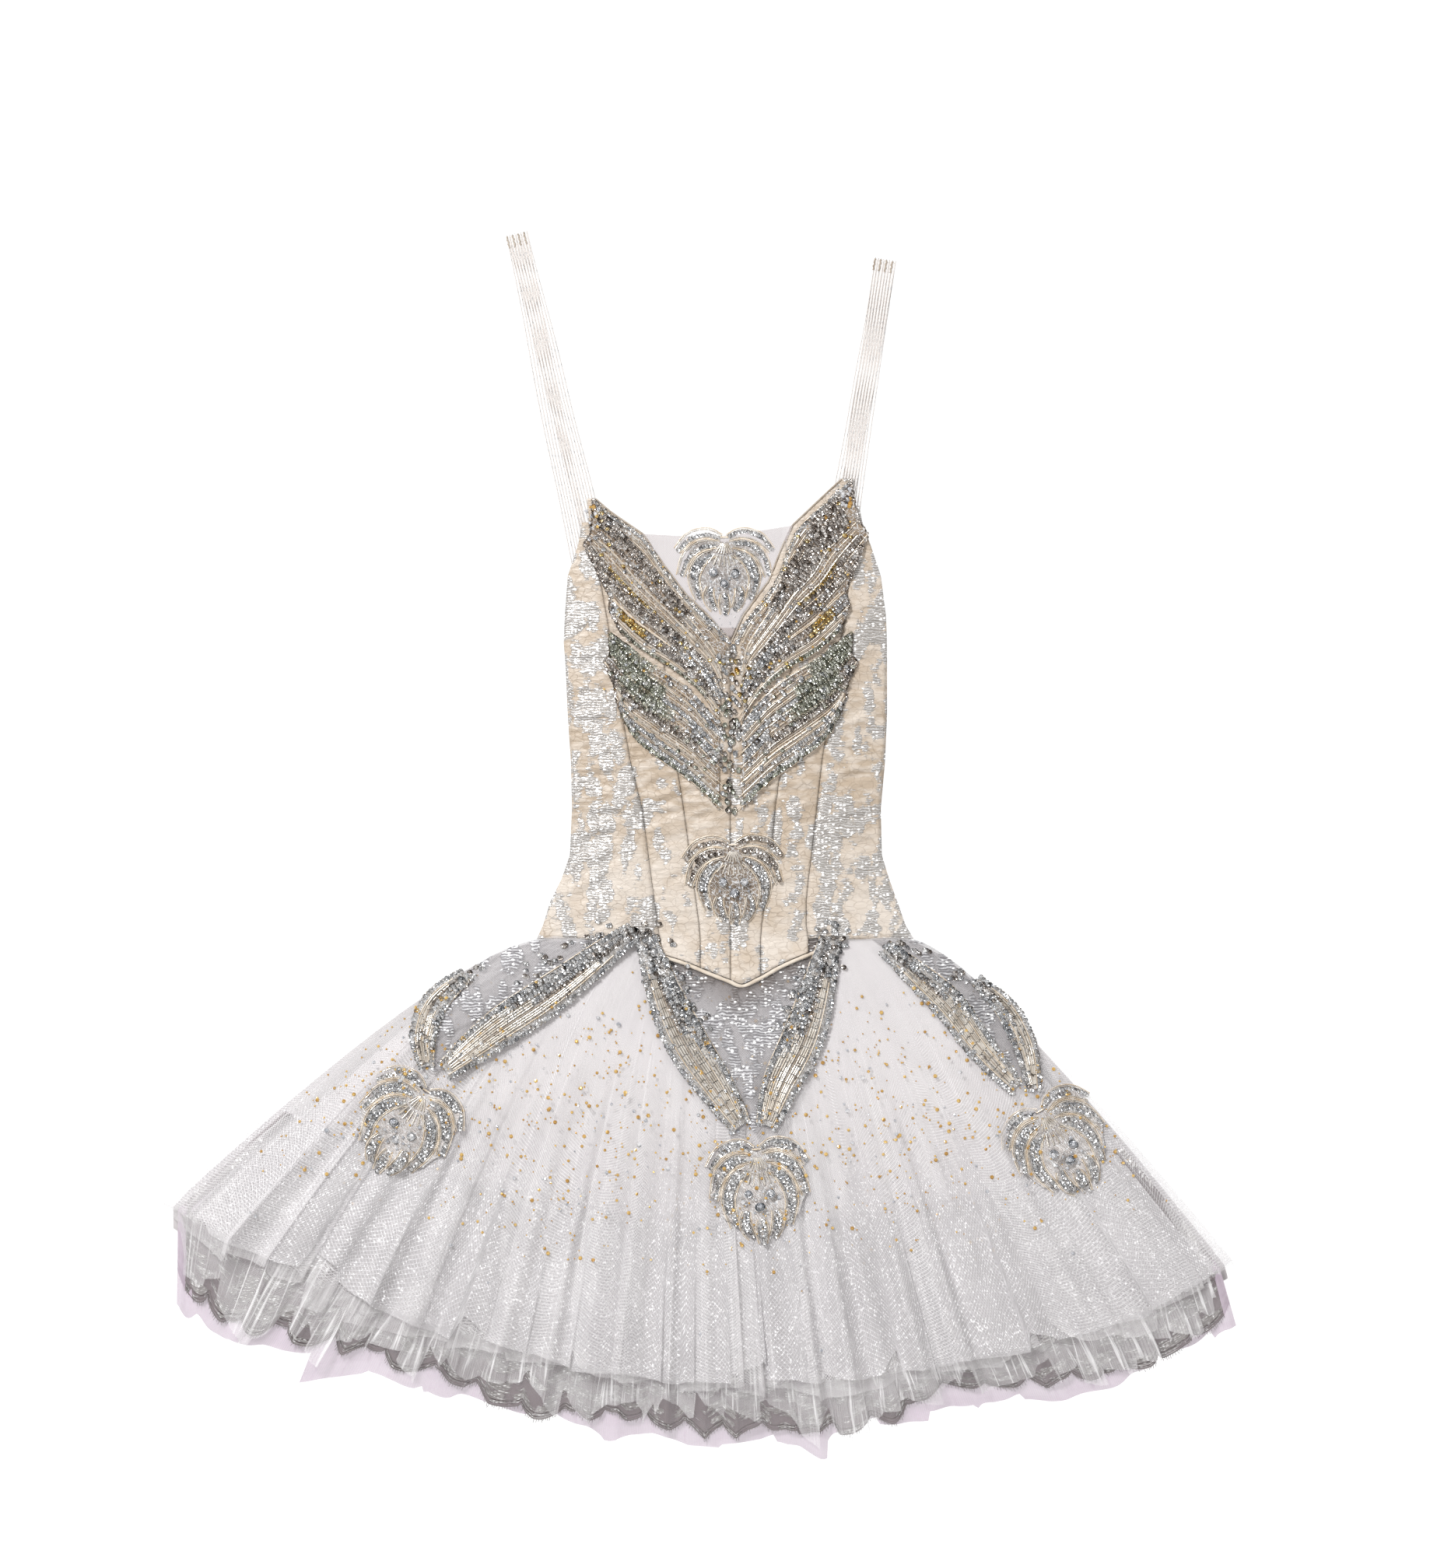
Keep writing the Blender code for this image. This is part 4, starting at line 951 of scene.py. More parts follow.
for word, table in HIP_LACES.items():
    table = [LacePoint(*p) for p in table]
    s = np.linspace(table[0].s, table[-1].s, HIP_LACE_COLUMNS)[None]
    share = np.linspace(0.02, 1, HIP_LACE_ROWS)[:, None]
    scallop = 1 + 0.05 * np.abs(np.sin(s * 70)) * share
    reach = read(table, "s", "reach", s) * scallop
    flat = fan(np.repeat(s, HIP_LACE_ROWS, 0), reach * share)
    ground = Ground(f"hip_lace_{word}", "top_net")
    z = np.array([[ground.height(x, y, 3.0) for x, y in row] for row in flat])
    z += 0.6 + 0.5 * smooth_noise(s * 90 + share * 9, 5) * smooth_noise(share * 17 + s * 12, 6)
    name = f"hip_lace_{word}_cloth"
    cloth[name] = put(
        name, raised(flat, z), grid_faces(*z.shape)[:, ::-1], hip_lace, (f"hip_lace_{word}",),
        flat_uv=flat.reshape(-1, 2),
    )
    tell_area(name)

# %% [markdown]
# ## The bodice's seams
# The front of the bodice is cut in panels. Each table row is a height, y, with the distance of each seam
# from the middle on either side. The panels share these seams, so they always meet.

# %% Seam tables
BodiceRow = namedtuple("BodiceRow", "y left_side left_outer left_inner right_inner right_outer right_side")
BODICE = [BodiceRow(*row) for row in (
    (-118, 184, 65, 26, 32, 78, 180),
    (-105, 178, 67, 27, 33, 76, 172),
    (-82, 171, 70, 30, 36, 76, 164),
    (-60, 160, 73, 33, 39, 78, 156),
    (-37, 152, 76, 36, 42, 81, 149),
    (8, 150, 82, 42, 46, 86, 148),
    (52, 151, 93, 49, 52, 91, 152),
    (97, 154, 101, 55, 57, 97, 154),
    (142, 156, 108, 60, 61, 105, 154),
    (168, 158, 112, 63, 62, 109, 154),
    (193, 157, 116, 66, 63, 113, 153),
    (232, 154, 123, 69, 60, 117, 148),
    (262, 144, 128, 69, 57, 119, 138),
    (284, 140, 133, 69, 57, 121, 130),
    (300, 139, 135, 69, 57, 122, 127),
)]
NeckPoint = namedtuple("NeckPoint", "y across")
NECKS = {
    "left": [NeckPoint(*p) for p in (
        (168, -3), (193, 17), (214, 39), (242, 60), (272, 80), (294, 112), (307, 127)
    )],
    "right": [NeckPoint(*p) for p in (
        (168, 3), (193, 14), (227, 39), (258, 51), (280, 61), (301, 83), (326, 110)
    )],
}
SIDES = {"left": -1, "right": 1}
CENTRE_SEAM = 3.0
NECK_FOOT = 168  # where the neckline's two sides meet
BASQUE_FOOT = -118  # the level foot of the side panels
EdgePoint = namedtuple("EdgePoint", "x y")
POINT_EDGE = [EdgePoint(*p) for p in (
    (-66, -131), (-42, -138), (-20, -147), (3, -156), (13, -160), (26, -155), (50, -142), (88, -126),
)]


def seam(word, which, y):
    return SIDES[word] * read(BODICE, "y", f"{word}_{which}", y)


def neckline(word, y):
    return SIDES[word] * read(NECKS[word], "y", "across", np.maximum(y, NECK_FOOT))


print("waist, seam to seam:", seam("right", "side", 0.0) - seam("left", "side", 0.0), "mm")

# %% [markdown]
# ## Creases placed one by one
# Satin over boning pulls into short level creases at the waist and slanting ones towards the hips. Each row
# is one crease: where it is, its length and turn, its width, and how deep it sinks. Summing them at every
# point of a panel is cheaper and steadier than simulating sewn, boned cloth.

# %% Crease table
Crease = namedtuple("Crease", "x y length turn width depth")
CREASE_STRENGTH = 2.2
CRINKLE = 0.55  # mm, the small level wrinkles everywhere between the creases
CREASES = [Crease(*row) for row in (
    (-64, 34, 34, 4, 3.0, 1.0), (-62, 22, 40, -5, 3.5, -0.8), (-66, 12, 30, 8, 3.0, 0.9),
    (-60, 2, 38, -3, 4.0, 1.1), (-68, -10, 28, 6, 3.0, -0.7), (-58, -22, 34, -8, 4.0, 0.7),
    (-30, 26, 36, 14, 3.0, 0.9), (-26, 14, 30, -10, 3.0, -0.7), (-24, 0, 26, 12, 3.5, 0.8),
    (34, 24, 30, -16, 3.0, 1.1), (36, 12, 34, 12, 3.5, -0.9), (28, 2, 28, -22, 3.0, 0.9),
    (66, 40, 30, 6, 3.0, 0.8), (68, 26, 34, -6, 4.0, 1.0), (70, 10, 26, 9, 3.0, -0.7),
    (64, -6, 30, -12, 3.5, 0.8), (66, -30, 28, 8, 3.5, 0.7), (-50, -60, 26, 20, 4.0, 0.6),
    (58, -66, 30, -18, 4.0, 0.6), (-12, -96, 22, 30, 3.0, 0.5), (20, -100, 24, -24, 3.0, 0.5),
    (-118, 40, 44, -6, 4.0, 1.2), (-122, 20, 50, 5, 4.5, -0.8), (-116, 2, 46, -4, 4.0, 1.1),
    (-124, -20, 50, 10, 5.0, 1.2), (-120, -44, 56, 18, 5.0, 0.9), (-130, -70, 60, 26, 5.0, 1.0),
    (-116, 66, 40, 7, 4.0, -0.7), (-130, 92, 40, -8, 4.0, 0.8), (-124, 122, 36, 5, 4.0, 0.7),
    (-136, 150, 30, -12, 4.0, 0.8), (-138, 180, 26, 14, 3.5, 0.7), (-112, -96, 50, 32, 5.0, 0.8),
    (120, 38, 44, 7, 4.0, 1.1), (118, 16, 48, -6, 4.5, -0.8), (122, -2, 44, 5, 4.0, 1.1),
    (120, -26, 50, -14, 5.0, 1.1), (124, -50, 56, -22, 5.0, 0.9), (130, -76, 56, -30, 5.0, 1.0),
    (118, 64, 40, -6, 4.0, 0.8), (128, 94, 38, 9, 4.0, -0.7), (124, 124, 36, -5, 4.0, 0.8),
    (134, 152, 30, 12, 4.0, 0.7), (136, 184, 26, -14, 3.5, 0.7), (108, -98, 48, -30, 5.0, 0.7),
    (-88, 60, 20, 60, 3.0, 0.6), (92, 58, 20, -58, 3.0, 0.6), (-92, -10, 24, 74, 3.0, 0.7),
    (96, -14, 24, -72, 3.0, 0.7), (-84, -90, 30, 66, 4.0, 0.7), (90, -88, 30, -64, 4.0, 0.7),
)]


def creased(x, y):
    """How far the cloth rises at x, y, from all the creases."""
    total = np.zeros_like(x)
    for c in CREASES:
        a = math.radians(c.turn)
        along = (x - c.x) * math.cos(a) + (y - c.y) * math.sin(a)
        off = (y - c.y) * math.cos(a) - (x - c.x) * math.sin(a) - 2.5 * np.sin(along / c.length * 2.2)
        inside = np.clip(1 - (2 * along / c.length) ** 2, 0, 1)
        dip = np.exp(-((off / c.width) ** 2))
        ridge = np.exp(-(((off - 1.8 * c.width) / c.width) ** 2))
        total -= CREASE_STRENGTH * c.depth * inside * (dip - 0.5 * ridge)
    level = smooth_noise(y / 4.6 + 1.7 * smooth_noise(x / 21, 8), 9)
    return total + CRINKLE * level * (0.4 + 0.6 * smooth_noise(x / 15 + 0.6 * smooth_noise(y / 9, 12), 10))


print(len(CREASES), "creases, deepest", max(c.depth for c in CREASES), "mm")

# %% [markdown]
# ## Bodice panels
# A panel is a grid between two seams. It lies on its solid, takes the creases, and dips at its edges where
# it is sewn. A Solidify modifier then gives it the thickness of satin with its interlining, downwards. A
# point that falls just off its solid is felt for a little nearer the panel's middle.

# %% Lay a panel
SEAM_DIP = 0.7
PANEL_THICK = 1.6


def lay_panel(name, node, grid, material, puckers=1.0, foot_dip=0.0):
    """Lays a grid of x, y on its solid, with creases, sunk seams and small puckers along them."""
    ground = Ground(node)
    middle = grid.reshape(-1, 2).mean(0)
    z = np.zeros(grid.shape[:2])
    rows, columns = z.shape
    for i, j in np.ndindex(rows, columns):
        centre = grid[i, columns // 2]
        for pull in (0.0, 0.01, 0.03, 0.08, 0.2):
            at = grid[i, j] + (centre - grid[i, j]) * pull + (middle - grid[i, j]) * pull * 0.1
            found = ground.height(*at)
            if found is not None:
                break
        z[i, j] = found if found is not None else z[i - 1, j]
    widths = np.linalg.norm(grid[:, -1] - grid[:, 0], axis=1)[:, None]
    share = np.linspace(0, 1, columns)[None]
    to_seam = np.minimum(share, 1 - share) * widths
    x, y = grid[..., 0], grid[..., 1]
    calm = smoothstep(to_seam / 6.0)
    pucker = puckers * 0.35 * np.exp(-to_seam / 7.0) * np.sin(y * 0.75 + 1.5 * np.sin(y * 0.11))
    sunk = SEAM_DIP * np.exp(-to_seam / 1.1)
    z += creased(x, y) * calm * puckers + pucker * smoothstep(to_seam / 1.5) - sunk
    z -= foot_dip * np.exp(-(y - BASQUE_FOOT) / 1.6)
    points = raised(grid, np.maximum(z, PANEL_THICK + 0.1))
    faces = grid_faces(rows, columns)
    piece = put(name, points, faces, material, (node,))
    a, c, d = (points[k] for k in faces[0][:3])
    if np.cross(c - a, d - a)[2] < 0:
        piece.data.flip_normals()
    thick = piece.modifiers.new("cloth", "SOLIDIFY")
    thick.thickness, thick.offset = PANEL_THICK * MM, -1.0
    return piece


print("a panel is", PANEL_THICK, "mm thick")

# %% [markdown]
# ## Front panels
# Beside the centre seam is a narrow panel that ends where the neckline meets the next seam. The front panel
# follows that seam and then the neckline, up to the strap point. Both end below in the point's slanting edge,
# so nine rows are added under their level foot.

# %% Cut the front panels
HALF_GAP = 0.15  # mm from a seam to the edge of each panel beside it
NECK_MARGIN = 2.7  # mm, the least width of a centre panel at its top
PANEL_ROWS = 200
POINT_ROWS = np.linspace(0, 0.88, 9)[:, None]  # shares of the way from the point's edge to the level foot


def front_edges(node, word, ys, meet):
    """Both edges of a front panel at the heights ys. meet is where its neckline leaves the inner seam."""
    gap = SIDES[word] * HALF_GAP
    neck, inner, outer = neckline(word, ys), seam(word, "inner", ys), seam(word, "outer", ys)
    if node.startswith("centre"):
        return neck + gap, inner - gap
    return np.where(ys <= meet, inner + gap, neck + gap), outer - gap


for word in SIDES:
    heights = np.arange(NECK_FOOT, 300, 0.5)
    left_to_seam = np.abs(seam(word, "inner", heights)) - np.abs(neckline(word, heights))
    meet = heights[left_to_seam < NECK_MARGIN][0]
    top = NECKS[word][-1].y - 0.5
    for node, upto, columns in ((f"centre_front_{word}", meet, 17), (f"front_{word}", top, 21)):
        ys = np.linspace(BASQUE_FOOT, upto, PANEL_ROWS)
        near, far = front_edges(node, word, ys, meet)
        share = np.linspace(0, 1, columns)[None]
        xs = near[:, None] * (1 - share) + far[:, None] * share
        body = plane(xs, ys[:, None])
        edge_y = eased(POINT_EDGE, "x", "y", xs[0])
        foot_y = edge_y + (BASQUE_FOOT - edge_y) * POINT_ROWS
        foot = plane(xs[0], foot_y)
        cloth[node] = lay_panel(f"{node}_cloth", node, np.concatenate([foot, body]), front_brocade)
        tell_area(node)

# %% [markdown]
# ## Side panels
# A side panel goes out to the side fold and turns down to the floor there, since the bodice is a tube laid
# flat. Its last columns crowd together round the fold, so that it turns smoothly. Its foot dips, as if it
# were tucked in behind the skirt.

# %% Cut the side panels
SIDE_TOPS = {"left": 283.5, "right": 299.5}
NEAR_FOLD = np.array([9.0, 6.5, 4.5, 3.0, 2.0, 1.2, 0.6, 0.2])  # mm from the fold to each of the last columns
SIDE_FOOT_DIP = 1.5
for word, side in SIDES.items():
    ys = np.linspace(BASQUE_FOOT, SIDE_TOPS[word], PANEL_ROWS)
    inner, fold = seam(word, "outer", ys) + side * HALF_GAP, seam(word, "side", ys)
    flat_to = fold - side * np.minimum(NEAR_FOLD[0], np.abs(fold - inner) * 0.5)
    share = np.linspace(0, 1, 17)[None]
    xs = inner[:, None] + (flat_to - inner)[:, None] * share[:, :-1]
    turning = fold[:, None] - (fold - flat_to)[:, None] * NEAR_FOLD[None] / NEAR_FOLD[0]
    across = np.concatenate([xs, turning], 1)
    grid = plane(across, ys[:, None])
    node = f"side_{word}"
    cloth[node] = lay_panel(f"{node}_cloth", node, grid, side_brocade, foot_dip=SIDE_FOOT_DIP)
    tell_area(node)

# %% [markdown]
# ## The back of the bodice
# The back is plain boned satin, flat on the floor, in two halves that close left of the middle. It is
# narrower than the front, since the sides turn under.

# %% Cut the back
BACK_TOP = 182.0
BACK_CLOSING, CLOSING_GAP = -12, 0.2
TURNED_UNDER = 6.3
for word, side in SIDES.items():
    ys = np.linspace(BASQUE_FOOT, BACK_TOP, 60)[:, None]
    far = side * (read(BODICE, "y", f"{word}_side", ys) - TURNED_UNDER)
    share = np.linspace(0, 1, 25)[None]
    xs = BACK_CLOSING + side * CLOSING_GAP + (far - BACK_CLOSING) * share
    grid = plane(xs, ys)
    node = f"back_{word}"
    cloth[node] = lay_panel(f"{node}_cloth", node, grid, satin, 0.3)
    tell_area(node)

# %% [markdown]
# ## The neck insert
# The neck is filled with a sheer net that only just shows. It reaches under the panels on both sides, as a
# gap would let the bright floor through, and its top edge is lifted to a slanting line.

# %% Lay the neck insert
insert_net = net_finish(
    "insert net", dye(187, 179, 180), dye(168, 160, 161),
    cell=0.0016, air=0.5, thread=0.4, aged=0.5, gathers=0.05,
)
INSERT_TOP = [EdgePoint(*p) for p in ((-80, 272), (-11, 270), (61, 280))]
INSERT_LOW, LIFT_FROM, INSERT_HIGH = 171, 200, 268  # mm, and the rows above LIFT_FROM slant
UNDER_PANEL = 2.0
share = np.linspace(0, 1, 33)[None]
ys = np.linspace(INSERT_LOW, INSERT_HIGH, 40)[:, None]
lift = smoothstep((ys - LIFT_FROM) / (INSERT_HIGH - LIFT_FROM))
left = neckline("left", ys + (INSERT_TOP[0].y - INSERT_HIGH) * lift) - UNDER_PANEL
right = neckline("right", ys + (INSERT_TOP[-1].y - INSERT_HIGH) * lift) + UNDER_PANEL
xs = left * (1 - share) + right * share
top_y = eased(INSERT_TOP, "x", "y", xs[-1])
grid = plane(xs, ys + (top_y - INSERT_HIGH) * lift)
ground = Ground("neck_insert")
z = np.array([[ground.height(x * 0.985, y - 0.4, 9.0) for x, y in row] for row in grid])
z += 0.35 * np.sin(xs * 0.35 + ys * 0.05) * (1 - np.abs(2 * share - 1))
cloth["neck_insert"] = put(
    "neck_insert_cloth", raised(grid, z), grid_faces(*z.shape), insert_net, ("neck_insert",),
    flat_uv=grid.reshape(-1, 2),
)
tell_area("neck_insert")

# %% [markdown]
# ## Tubes, rods, cups and stones
# Four small shapes make all the trimming. A tube follows a line and may swell at every bead. A rod is one
# straight bugle. A cup is a faceted sequin with its hole. A stone is a flat-backed crystal with six sides.

# %% Trimming shapes


def along(line):
    """Directions along a line of points in space."""
    runs = np.gradient(line, axis=0)
    return runs / np.maximum(np.linalg.norm(runs, axis=1, keepdims=True), 1e-9)


def tube(batch, line, radius, sides=6, beaded=0.0):
    """A closed tube along a line. beaded is how much every second ring shrinks."""
    line = np.asarray(line, float)
    run = along(line)
    side = np.cross(run, (0, 0, 1.0))
    side /= np.maximum(np.linalg.norm(side, axis=1, keepdims=True), 1e-9)
    up = np.cross(side, run)
    sizes = np.broadcast_to(radius, (len(line),)) * (1 - beaded * (np.arange(len(line)) % 2))
    turn = np.linspace(0, math.tau, sides, endpoint=False)
    ring = np.cos(turn)[None, :, None] * side[:, None] + np.sin(turn)[None, :, None] * up[:, None]
    points = (line[:, None] + ring * sizes[:, None, None]).reshape(-1, 3)
    a = (np.arange(len(line) - 1)[:, None] * sides + np.arange(sides)[None]).ravel()
    b = (np.arange(len(line) - 1)[:, None] * sides + (np.arange(sides)[None] + 1) % sides).ravel()
    faces = np.column_stack([a, b, b + sides, a + sides])
    batch.add(points, faces)


def rods(batch, starts, ends, radius, sides=6):
    for start, end in zip(starts, ends):
        tube(batch, np.array([start, end]), radius, sides)


def stacked_rings(rings, sides):
    """The points and faces of rings, each with its radius, height and turn, joined one to the next."""
    spokes = np.linspace(0, math.tau, sides, endpoint=False)
    points = [(r * math.cos(a + t), r * math.sin(a + t), h) for r, h, t in rings for a in spokes]
    faces = []
    for first in range(0, (len(rings) - 1) * sides, sides):
        for j in range(sides):
            after = (j + 1) % sides
            faces.append((first + j, first + after, first + sides + after, first + sides + j))
    return np.array(points), faces


CUP, CUP_FACES = stacked_rings(((1.0, 0.36, 0), (0.6, 0.08, 0), (0.2, 0.0, 0)), 8)
STONE, STONE_FACES = stacked_rings(((1, 0, 0), (0.95, 0.25, 0), (0.5, 0.7, 0.52)), 6)
STONE_FACES += [(12, 13, 14, 15), (12, 15, 16, 17)]  # its flat top
print("cup:", len(CUP), "points, stone:", len(STONE), "points")

# %% [markdown]
# ## Laying lines on the work
# Beads are sewn along lines drawn on the cloth. A line is felt onto the surface, and its heights are
# smoothed a little, as a thread bridges small dips.

# %% Lay a line


def laid(line, lift, step, bridge=5):
    """A flat line, cut into even steps, on top of what is under it."""
    flat = even_steps(np.asarray(line, float), step)
    z = np.array([everything.height(x, y, 3.0) for x, y in flat])
    if len(z) > bridge:
        padded = np.concatenate([np.repeat(z[:1], bridge // 2), z, np.repeat(z[-1:], bridge // 2)])
        windows = np.lib.stride_tricks.sliding_window_view(padded, bridge)
        z = np.maximum(z, windows.mean(1))
    return np.column_stack([flat, z + lift])


print("a line over the belly:", laid([(-20, 0), (20, 0)], 0.0, 20.0).round(1).tolist())

# %% [markdown]
# ## Piping
# The pointed front and the neckline are edged with piping: a cord in a bias strip, made as a tube. The cord
# of the point lies just outside the panels' edge, sunk into its solid, and its thickness wanders a little.

# %% Pipe the edges
PIPING_STEPS = 90
PIPING_OUT, PIPING_SUNK, PIPING_RADIUS = 2.6, 1.7, 1.8
piping = Batch()
binding_x = np.linspace(-64, 86, PIPING_STEPS)
binding = np.column_stack([binding_x, eased(POINT_EDGE, "x", "y", binding_x)])
run = along(np.column_stack([binding, np.zeros(PIPING_STEPS)]))
line = binding + np.column_stack([run[:, 1], -run[:, 0]]) * PIPING_OUT
binding_ground = Ground("point_binding")
z = np.array([binding_ground.height(x, y, 12.0) for x, y in line]) - PIPING_SUNK
z += 0.25 * smooth_noise(np.arange(PIPING_STEPS) * 0.4, 3)
radius = PIPING_RADIUS + 0.2 * smooth_noise(np.arange(PIPING_STEPS) * 0.5, 4)
tube(piping, np.column_stack([line, z]), radius, 10)
cloth["binding"] = piping.make("point_binding_cloth", satin, "satin", True)
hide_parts("point_binding")

neck_piping = Batch()
for word, side in SIDES.items():
    ys = np.linspace(NECK_FOOT, NECKS[word][-1].y - 1, 80)
    line = np.column_stack([side * read(NECKS[word], "y", "across", ys) + side * 0.8, ys])
    tube(neck_piping, laid(line, 0.4, 2.5), 0.8, 8)
neck_piping.make("neck_piping", taupe_thread, "satin", True)
print("piping on the point and the neckline")

# %% [markdown]
# ## The eyelash edge of the lace
# The lace frill ends in scallops with a dark cord along the edge and short loose hairs beyond it, as such
# lace does. The cords follow rows of the cloth's own grid, and each hair points on down the cloth.

# %% Edge the lace frill
lace_edge = fibre_finish("lace edge", dye(132, 124, 124), dye(104, 96, 98), 0.6, 0.0006, 0.3)
lace_rows = 1 + next(frill.rows for name, *_, frill in NETS if name == "lace_frill_cloth")
corners = np.array([v.co / MM for v in cloth["lace_frill_cloth"].data.vertices]).reshape(lace_rows, -1, 3)
eyelash = Batch()
for row, radius in ((-1, 0.5), (-2, 0.35)):
    tube(eyelash, corners[row] + (0, 0, 0.3), radius, 4)
hairs = np.random.default_rng(606)
edge_line = even_steps(np.hstack([corners[-1], corners[-1] - corners[-2]]), 2.6)
for spot in edge_line:
    point, way = spot[:3], spot[3:] / max(np.linalg.norm(spot[3:]), 1e-6)
    tip = point + way * hairs.uniform(1.5, 4.5) + (hairs.normal(0, 0.7), 0, 0)
    tube(eyelash, np.array([point, tip]), 0.28, 3)
eyelash.make("lace_eyelash_edge", lace_edge, "silver_lace", True)
print("hairs:", len(edge_line))

# %% [markdown]
# ## Seam stitches
# The channels for the bones are stitched in brown silk, which shows as a fine line down every seam. Each
# line is a thin tube that swells at every stitch and wavers a little.

# %% Stitch the seams
STITCH, STITCH_RADIUS, STITCH_SWELL = 1.3, 0.42, 0.3
stitches = Batch()
for word in SIDES:
    for which, low, high in (("inner", -126, 250), ("outer", BASQUE_FOOT, 290)):
        ys = np.linspace(low, high, 200)
        line = laid(np.column_stack([seam(word, which, ys), ys]), -0.35, STITCH)
        waver = 0.15 * smooth_noise(np.arange(len(line)) * 0.3, 7)
        line += np.column_stack([waver, waver, np.zeros(len(line))])
        tube(stitches, line, STITCH_RADIUS, 4, STITCH_SWELL)
centre = laid([(CENTRE_SEAM, -150), (CENTRE_SEAM, 0), (CENTRE_SEAM, NECK_FOOT)], -0.3, STITCH)
tube(stitches, centre, STITCH_RADIUS, 4, STITCH_SWELL)
stitches.make("seam_stitches", seam_thread, "satin", True)
print("stitched", len(stitches.faces), "seams")

# %% [markdown]
# ## Elastic straps
# Each strap is a band of silver and clear elastic threads, held by a clear film with a faint lattice. The
# film is nearly all air, so the threads have to be real tubes with a finish of their own.

# %% Finish: elastic
film, b, shader = finish("strap film", Roughness=0.25)
place = b.node("UVMap", uv_map="cloth").outputs[0]
film_cells = b.group(lattice, Place=place, Cell=0.004, Thread=0.5, Slant=1.6)[0]
b.feed(b.mix(film_cells, dye(246, 238, 232), dye(226, 214, 206)), shader["Base Color"])
b.feed(b.math("MULTIPLY_ADD", film_cells, 0.2, 0.14), shader["Alpha"])
elastic_thread, b, shader = finish("elastic thread", Roughness=0.3, Coat_Weight=0.3)
place = b.node("TexCoord").outputs["Object"]
dash = b.group(sparkle, Place=place, Scale=330.0, Share=0.45)[0]
b.feed(b.mix(dash, dye(216, 210, 206), dye(200, 198, 198)), shader["Base Color"])
b.feed(b.times(dash, 0.5), shader["Metallic"])
print("elastic:", film.name, "and", elastic_thread.name)

# %% [markdown]
# A strap's eight threads are folded over at the top. The upper run ends behind the strap point and the lower
# at the back. Every thread turns round the fold, and short thicker ends lie on it.

# %% Make the straps
Strap = namedtuple("Strap", "name front fold back")
STRAPS = (
    Strap("left", (-132.0, 282.0), (-203.0, 561.0), (-128.0, 186.0)),
    Strap("right", (110.0, 300.0), (152.0, 536.0), (103.0, 186.0)),
)
THREADS = 8
STRAP_WIDTH = 19.6
FILM_STEPS = 40
RUN_APART = 400  # mm between the two runs on the film's own cloth
ROUND_FOLD = ((-1, 2.2), (0.6, 1.9), (1.0, 1.4), (0.4, 0.9), (-1, 0.6))  # mm past the fold, and height
for strap in STRAPS:
    threads, ends = Batch(), Batch()
    front, fold, back = (np.array(p) for p in (strap.front, strap.fold, strap.back))
    flat_points, flat_uvs = [], []
    for run, (near, level, shift) in enumerate(((back, 0.7, -0.7), (front, 2.2, 0.9))):
        way = (fold - near) / np.linalg.norm(fold - near)
        side = np.array([way[1], -way[0]])
        length = np.linalg.norm(fold - near)
        t = np.linspace(0, 1, int(length / 2.2))[:, None]
        sway = (0.5 * np.sin(t * 9 + run) + shift) * np.sin(math.pi * t)
        middle = near + (fold - near) * t + side * sway
        for k in range(THREADS):
            off = (k / (THREADS - 1) - 0.5) * STRAP_WIDTH * (1 + 0.03 * np.sin(t * 13 + k))
            z = level + 0.12 * np.sin(t * 60 + k * 2)
            tube(threads, np.concatenate([middle + side * off, z], 1), 0.52, 5, 0.22)
        for i in np.linspace(0, len(middle) - 1, FILM_STEPS).astype(int):
            for share in (-0.5, 0.5):
                flat_points.append((*(middle[i] + side * STRAP_WIDTH * share), level - 0.1))
                flat_uvs.append((share * STRAP_WIDTH, length * (i / len(middle)) + run * RUN_APART))
    for k in range(THREADS):
        at = fold + side * ((k / (THREADS - 1) - 0.5) * STRAP_WIDTH)
        curl = [(*(at + way * d + side * 0.4 * math.sin(d + k)), z) for d, z in ROUND_FOLD]
        tube(threads, curl, 0.5, 5)
        if k % 2 == 0:
            steps = np.linspace(-11, 0.4, 7)
            tip = [(*(at + way * d + side * (0.5 * math.sin(2 * d + k))), 2.4) for d in steps]
            tube(ends, tip, 1.0, 6, 0.2)
    faces = [f for first in (0, 2 * FILM_STEPS) for f in (grid_faces(FILM_STEPS, 2) + first)]
    name = f"strap_{strap.name}"
    cloth[name] = put(f"{name}_film", flat_points, faces, film, flat_uv=flat_uvs)
    band = threads.make(f"{name}_threads", elastic_thread, "elastic", True)
    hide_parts(name)
    ends.make(f"{name}_ends", taupe_thread, "elastic", True)
    print(name, "has", len(threads.faces), "tubes")

# %% [markdown]
# ## Rows of beads
# Each kind of bead is sewn on in its own way. Sequins overlap like roof tiles and catch the light at slightly
# different angles, bugles follow each other end to end, and seed beads make a cord. Stones stand alone.

# %% Rows of beads
SEQUINS = {"silver": silver_sequin, "steel": steel_sequin, "gold": gold_sequin, "moss": moss_sequin}
rng = np.random.default_rng(2024)


